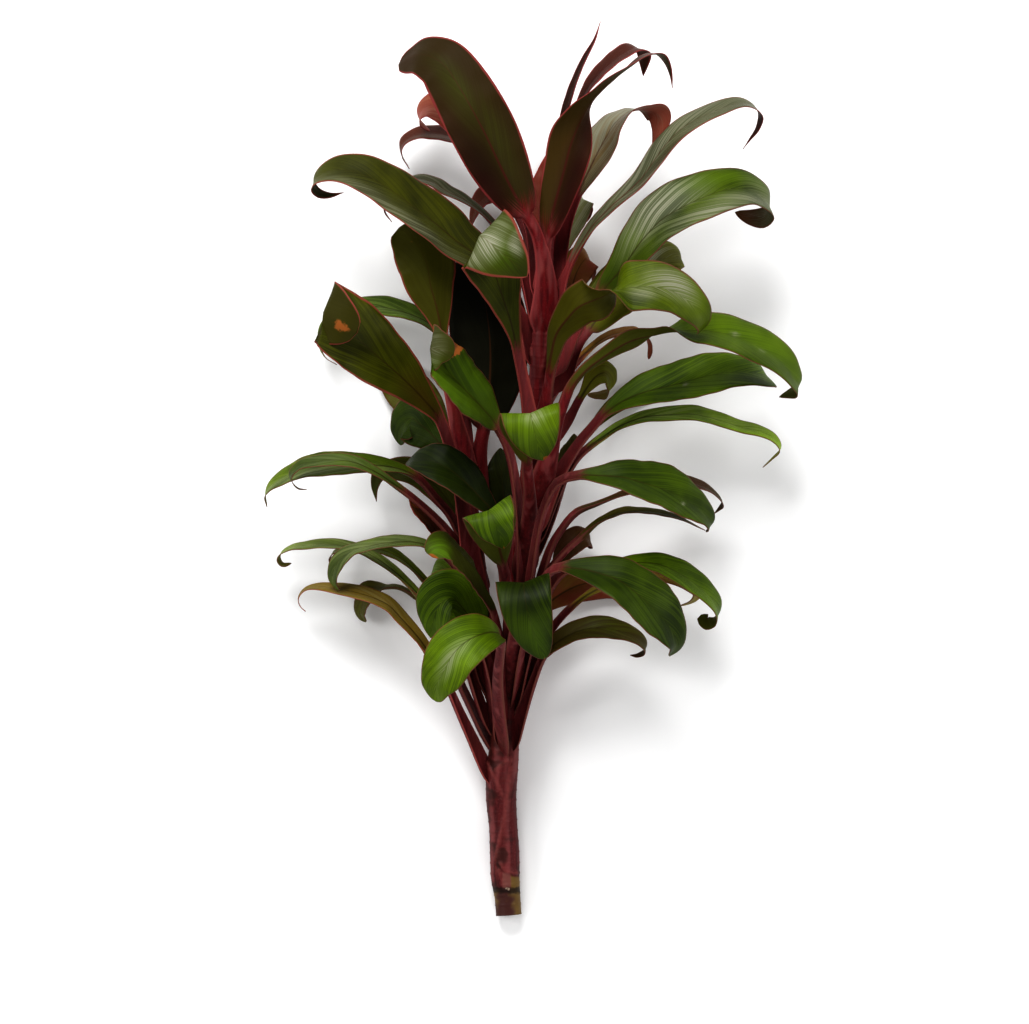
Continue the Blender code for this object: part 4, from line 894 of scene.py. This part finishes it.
# %% Lay one row of the pattern
def lay_section(leaf, rib, row, phases, seed):
    """Where a row of the pattern goes: a function from across (-1 to 1) and depth (0 or -1) to a point."""
    on_blade = row > STALK_ROWS
    if on_blade:
        u = (row - STALK_ROWS) / BLADE_ROWS
        share = leaf.start + (1 - leaf.start) * u
        half = blade_half_width(leaf, u)
        channel = 1 - smoothstep(u / FOOT_REACH)
    else:
        u = 0.0
        share = leaf.start * row / STALK_ROWS
        half = stalk_half_width(leaf, row / STALK_ROWS)
        channel = 1.0
    closed = SHEATH_END + (1 - SHEATH_END) * smoothstep(row / STALK_ROWS / SHEATH_REACH)
    half *= closed
    point, side, normal = rib.at(share)
    fold = FOOT_FOLD + (TIP_FOLD - FOOT_FOLD) * u
    swell = WAVE_PER_HALF_WIDTH * half * smoothstep(u / WAVE_REACH)
    waves = [swell * math.sin(math.tau * WAVES * u + phase) for phase in phases]
    ruffles = [RUFFLE_SHARE * swell * math.sin(math.tau * RUFFLES * u + 2 * phase) for phase in phases]
    fade = 1 - smoothstep(u / MIDRIB_FADE)
    rib_thick = BLADE_EDGE + (BLADE_MIDRIB - BLADE_EDGE) * fade
    stalk_lift = min(STALK_LIFT / (CHANNEL_DEPTH * half), 1.0)

    def place(across, depth):
        reach = abs(across)
        arc_x = half * math.sin(across * CHANNEL_ANGLE) / math.sin(CHANNEL_ANGLE)
        arc_z = half * (1 - math.cos(across * CHANNEL_ANGLE)) / math.sin(CHANNEL_ANGLE)
        side_of = 1 if across > 0 else 0
        x = half * across
        soft = math.sqrt(x * x + 1.0) - 1.0
        z = soft * math.sin(fold) + reach**2 * (waves[side_of] + ruffles[side_of])
        z -= MARGIN_TURN * half * reach**4
        z -= GROOVE * fade * math.exp(-((x / GROOVE_HALF_WIDTH) ** 2))
        x += (arc_x - x) * channel
        z += (arc_z * stalk_lift - z) * channel
        flat_thick = BLADE_EDGE + (rib_thick - BLADE_EDGE) * math.exp(-((x / MIDRIB_HALF_WIDTH) ** 2))
        stalk_thick = closed * (STALK_EDGE + (STALK_MIDDLE - STALK_EDGE) * (1 - reach**2))
        thick = flat_thick + (stalk_thick - flat_thick) * channel
        spot = point + side * x + normal * (z + depth * thick)
        uneven = noise.noise(Vector(spot) * UNEVEN_SCALE + Vector((seed, 0, 0)))
        return spot + normal * uneven * UNEVEN * (1 - channel)

    return place, u if on_blade else row / STALK_ROWS - 1, half, share


# %% Lay a leaf along its rib
YOUNG_FROM = 60
AGE_SPAN = 240
LOWEST_TOP = 0.4  # the upper face stays this far over the table


def spotted(spots, along, across):
    """The strongest share that a place on the blade has of any of the spots."""
    most = 0.0
    for at_along, at_across, long, wide, strength in spots:
        gap = math.hypot((along - at_along) / long, (across - at_across) / wide)
        most = max(most, strength * (1 - smoothstep(gap)), key=abs)
    return most


def lay_leaf(leaf):
    """A copy of the pattern, laid along the leaf's rib and stained with the leaf's own values."""
    rib = Rib(leaf)
    rng = random.Random(leaf.name)
    phases = rng.uniform(0, math.tau), rng.uniform(0, math.tau)
    seed = rng.uniform(0, 100)
    mesh = pattern.data.copy()
    mesh.name = f"leaf_{leaf.name}"
    sections = [lay_section(leaf, rib, row, phases, seed) for row in range(ROWS + 1)]
    age = min(max((YOUNG_FROM - leaf.points[0][1]) / AGE_SPAN, 0.0), 1.0)
    looks = leaf.looks
    values = {name: [] for name in POINT_VALUES}
    for vertex in mesh.vertices:
        across, row, depth = vertex.co.x, round(vertex.co.y), round(vertex.co.z)
        place, along, half, share = sections[row]
        spot = place(across, depth)
        spot.z = max(spot.z, 0.0 if depth else LOWEST_TOP)
        vertex.co = spot * MM
        there = {kind: spotted(leaf.spots[kind], along, across) for kind in SPOT_KINDS}
        here = {
            **looks,
            **there,
            "along": along,
            "across": across,
            "run": (share - leaf.start) * rib.length * MM,
            "off_midrib": (across - looks["rib_at"]) * half * MM,
            "inset": (1 - abs(across)) * half * MM,
            "underside": -depth,
            # light: the leaf's own tone, darkened by painted shade spots and lightened by negative ones
            # (painted light)
            "light": looks["light"] * (1 - there["shade"]),
            "redness": max(looks["red"], there["flushed"]),
            "age": age,
        }
        for name, numbers in values.items():
            numbers.append(here[name])
    for name, numbers in values.items():
        mesh.attributes.new(name, "FLOAT", "POINT").data.foreach_set("value", numbers)
    mesh.materials.clear()
    mesh.materials.append(LEAF_FINISHES[leaf.tone])
    mesh.shade_smooth()
    piece = bpy.data.objects.new(mesh.name, mesh)
    bpy.context.scene.collection.objects.link(piece)
    return piece


# %% [markdown]
# ## All the leaves
# With the pattern and the rules in place, each row of the table becomes one leaf.

# %% Make the leaves
triangles = 0
for leaf in LEAVES:
    piece = lay_leaf(leaf)
    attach(piece, "root")
    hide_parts(leaf.name)
    triangles += sum(len(face.vertices) - 2 for face in piece.data.polygons)
bpy.data.objects.remove(pattern)
print(len(LEAVES), "leaves,", triangles, "triangles")

# %% [markdown]
# ## The cane and its shoots
# A shoot is a round stem that thins towards its tip, with a low ring wherever a leaf grew. A smooth path
# with its own radius makes this well: it is drawn, given a round section and made a mesh, and the rings are
# small swellings of the radius. Old leaf sheaths still wrap the main shoot, and their free edges run along
# it as thin raised lips. Each lip is a short line on the stem: the skin to the left of it is lifted by
# about a millimetre and falls back slowly, and the lip's edge is marked for the finish.

# %% Shoots from paths
MAIN_AXIS = (
    (-17, -313, 8, 9.2), (-18, -300, 8, 9.3), (-19.5, -285, 9, 10.3), (-20, -268, 9.6, 10.6),
    (-21, -250, 9.8, 10.2), (-22.5, -228, 12, 10.8), (-21, -200, 17, 10.8), (-16, -144, 29, 8.4),
    (-10, -88, 45, 7.6), (-4, -18, 62, 6.9), (2, 52, 72, 6.3), (7, 122, 78, 5.8), (10, 171, 79, 5.5),
)
SIDE_AXIS = (
    (-20, -221, 13, 7), (-27, -158, 20, 6.5), (-34, -102, 30, 6), (-41, -46, 40, 5.5),
    (-48, 10, 48, 5), (-55, 52, 54, 4.5),
)
RING_GAP = 7.5
RING_SWELL = 0.3
RING_WIDTH = 8
ROUND_SIDES = 28
WELD = 1e-5


def shoot(name, axis, stations):
    """A ringed round stem along a path of places and radii."""
    points, length = smooth_path(axis, stations)
    curve = bpy.data.curves.new(name, "CURVE")
    curve.dimensions = "3D"
    curve.bevel_depth = 1.0
    curve.bevel_resolution = ROUND_SIDES
    curve.use_fill_caps = True
    line = curve.splines.new("POLY")
    line.points.add(len(points) - 1)
    for k, point in enumerate(points):
        ring = math.cos(math.tau * k / stations * length / RING_GAP)
        radius = point.w + RING_SWELL * (max(ring, 0) ** RING_WIDTH - 0.5)
        line.points[k].co = (*(point.to_3d() * MM), 1)
        line.points[k].radius = radius * MM
    drawn = bpy.data.objects.new(name, curve)
    bpy.context.scene.collection.objects.link(drawn)
    bpy.ops.object.select_all(action="DESELECT")
    drawn.select_set(True)
    bpy.context.view_layer.objects.active = drawn
    bpy.ops.object.convert(target="MESH")
    made = bpy.context.object
    bpy.ops.object.mode_set(mode="EDIT")
    bpy.ops.mesh.select_all(action="SELECT")
    bpy.ops.mesh.remove_doubles(threshold=WELD)
    bpy.ops.mesh.normals_make_consistent(inside=False)
    bpy.ops.object.mode_set(mode="OBJECT")
    for vertex in made.data.vertices:
        vertex.co.z = max(vertex.co.z, 0)
    made.data.shade_smooth()
    return made


# %% Lips of the old sheaths
# In millimetres. Each line runs with the raised sheath on its left
LIP_HEIGHT = 1.2
LIP_REACH = 5.0
LIP_EDGE = 0.8
LIP_EDGE_AT = 0.4
LIP_STEP = 0.5
LIP_NEAR = 6
END_FADE = 0.2
SHEATH_LIPS = (
    ((-19.7, -230.8), (-23.2, -220.2), (-32.5, -202.4), (-37, -194)),
    ((-14.7, -188.3), (-17.6, -216.6), (-21.1, -241.5), (-26.1, -266.3), (-27.5, -275)),
    ((-17.6, -200.3), (-28.2, -209.5)),
    ((-24.7, -274.8), (-19.7, -282.6), (-9.8, -284)),
    ((-17.6, -293.3), (-24, -279)),
    ((0.2, 80), (-2, 96), (-3.5, 112)),
    ((9, 102), (8, 88), (5.1, 70.8)),
    ((-9, -54.8), (-13, -40), (-14.5, -28)),
    ((-1.2, -35.6), (-4, -46.3), (-7.6, -57.6)),
    ((-12, -144.2), (-16, -134), (-19.7, -124.4)),
    ((-5.5, -117), (-8.3, -135), (-11, -144.5)),
)


def beside(x, y, line):
    """How far a point lies left of a line of short runs, and how near the line's ends it is."""
    best = None
    for k, ((ax, ay), (bx, by)) in enumerate(zip(line, line[1:])):
        dx, dy = bx - ax, by - ay
        t = min(max(((x - ax) * dx + (y - ay) * dy) / (dx * dx + dy * dy), 0), 1)
        gap = math.hypot(x - ax - t * dx, y - ay - t * dy)
        if best is None or gap < best[0]:
            left = dx * (y - ay) - dy * (x - ax) > 0
            best = (gap, gap if left else -gap, (k + t) / (len(line) - 1))
    return best[1], min(best[2], 1 - best[2])


def raise_lips(made, axis):
    """Lift the stem's skin along the sheath lips and mark their thin edges."""
    rims = [0.0] * len(made.data.vertices)
    middles = sorted(smooth_path(axis, 200)[0], key=lambda point: point.y)
    for vertex in made.data.vertices:
        x, y, z = vertex.co / MM
        at = min(range(len(middles)), key=lambda k: abs(middles[k].y - y))
        middle = middles[at]
        if z < middle.z:
            continue
        for line in SHEATH_LIPS:
            if not min(p[1] for p in line) - LIP_NEAR < y < max(p[1] for p in line) + LIP_NEAR:
                continue
            left, inward = beside(x, y, line)
            if not -2 < left < 4 * LIP_REACH:
                continue
            fade = smoothstep(inward / END_FADE + 0.3)
            rise = smoothstep(left / LIP_STEP + 0.5) * math.exp(-max(left, 0) / LIP_REACH)
            lift = LIP_HEIGHT * fade * rise
            away = Vector((x - middle.x, 0, z - middle.z)).normalized()
            vertex.co += away * lift * MM
            rim_width = LIP_EDGE if left < LIP_EDGE_AT else 2.5 * LIP_EDGE
            rim = math.exp(-(((left - LIP_EDGE_AT) / rim_width) ** 2))
            rims[vertex.index] = max(rims[vertex.index], fade * rim)
    made.data.attributes.new("rim", "FLOAT", "POINT").data.foreach_set("value", rims)


# %% Make the shoots
main_shoot = shoot("main_shoot", MAIN_AXIS, stations=700)
side_shoot = shoot("side_shoot", SIDE_AXIS, stations=200)
raise_lips(main_shoot, MAIN_AXIS)
print("shoots:", len(main_shoot.data.polygons), len(side_shoot.data.polygons), "faces")

# %% [markdown]
# ## The stem's finish
# The shoots are as red as the stalks. The old cane is duller, with dark blotches and pale lips. At the cut
# the skin is worn off: a pinkish and ochre bare patch, a dark ring, a tan stub and a few small pale scars.
# The places are given in metres along and across the plant, and noise makes their edges ragged.

# %% Stem finish
BARK_DARK = (0.022, 0.008, 0.005, 1)
LIP_PINK = (0.2, 0.05, 0.045, 1)
STUB_BROWN = (0.06, 0.02, 0.016, 1)
STUB_TAN = (0.14, 0.085, 0.025, 1)
BARE_PINK = (0.17, 0.06, 0.05, 1)
BARE_OCHRE = (0.15, 0.09, 0.025, 1)
RING_DARK = (0.012, 0.005, 0.003, 1)
SCAR_PALE = (0.35, 0.27, 0.2, 1)
SCARS = ((-0.0284, -0.2425, 0.0165), (-0.0188, -0.2935, 0.0178), (-0.0172, -0.2942, 0.0176))

bark, tree, shader = new_finish("stem_bark", specular=0.2)
room = add_node(tree, "ShaderNodeTexCoord").outputs["Object"]
split = add_node(tree, "ShaderNodeSeparateXYZ", {0: room}).outputs
grain = noise_at(tree, room, 260.0, 4.0)
blotch = noise_at(tree, room, 70.0, 2.0)
ragged = times_plus(tree, grain, 3 * MM, split["Y"])
age = ramp(tree, split["Y"], -0.22, -0.05, 1.0, 0.2)
skin = place_group(tree, stalk_group, {"Place": room, "Age": age})
dark = times(tree, ramp(tree, blotch, 0.5, 0.65), ramp(tree, split["Y"], -0.12, -0.2, 0.1, 0.7))
worn = times(tree, read(tree, "rim"), ramp(tree, grain, 0.3, 0.65, 0.25, 0.75))
slope = times_plus(tree, split["X"], 0.35, ragged)
bare = times(tree, ramp(tree, slope, -0.287, -0.2895), ramp(tree, split["X"], -0.0225, -0.0205))
ring = times(tree, ramp(tree, ragged, -0.2905, -0.2925, high=0.85), ramp(tree, ragged, -0.297, -0.2945))
colour = lay_on(
    tree, skin["Colour"],
    (dark, BARK_DARK),
    (worn, LIP_PINK),
    (bare, tint(tree, ramp(tree, split["X"], -0.0165, -0.0145), BARE_PINK, BARE_OCHRE)),
    (ramp(tree, ragged, -0.292, -0.2945), tint(tree, ramp(tree, blotch, 0.4, 0.6), STUB_BROWN, STUB_TAN)),
    (ring, RING_DARK),
)
for place in SCARS:
    gap = add_node(tree, "ShaderNodeVectorMath", {0: room, 1: place}, operation="DISTANCE")
    near = times_plus(tree, grain, 2 * MM, gap.outputs["Value"])
    colour = tint(tree, ramp(tree, near, 2.3 * MM, 1.7 * MM, high=0.7), colour, SCAR_PALE)
tree.links.new(colour, shader.inputs["Base Color"])
shader.inputs["Roughness"].default_value = 0.5
add_relief(tree, shader, skin["Relief"], 0.5, 0.5 * MM)
print("nodes of the stem finish:", len(tree.nodes))

for made in (main_shoot, side_shoot):
    made.data.materials.clear()
    made.data.materials.append(bark)
    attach(made, "root")
    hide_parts("stem")
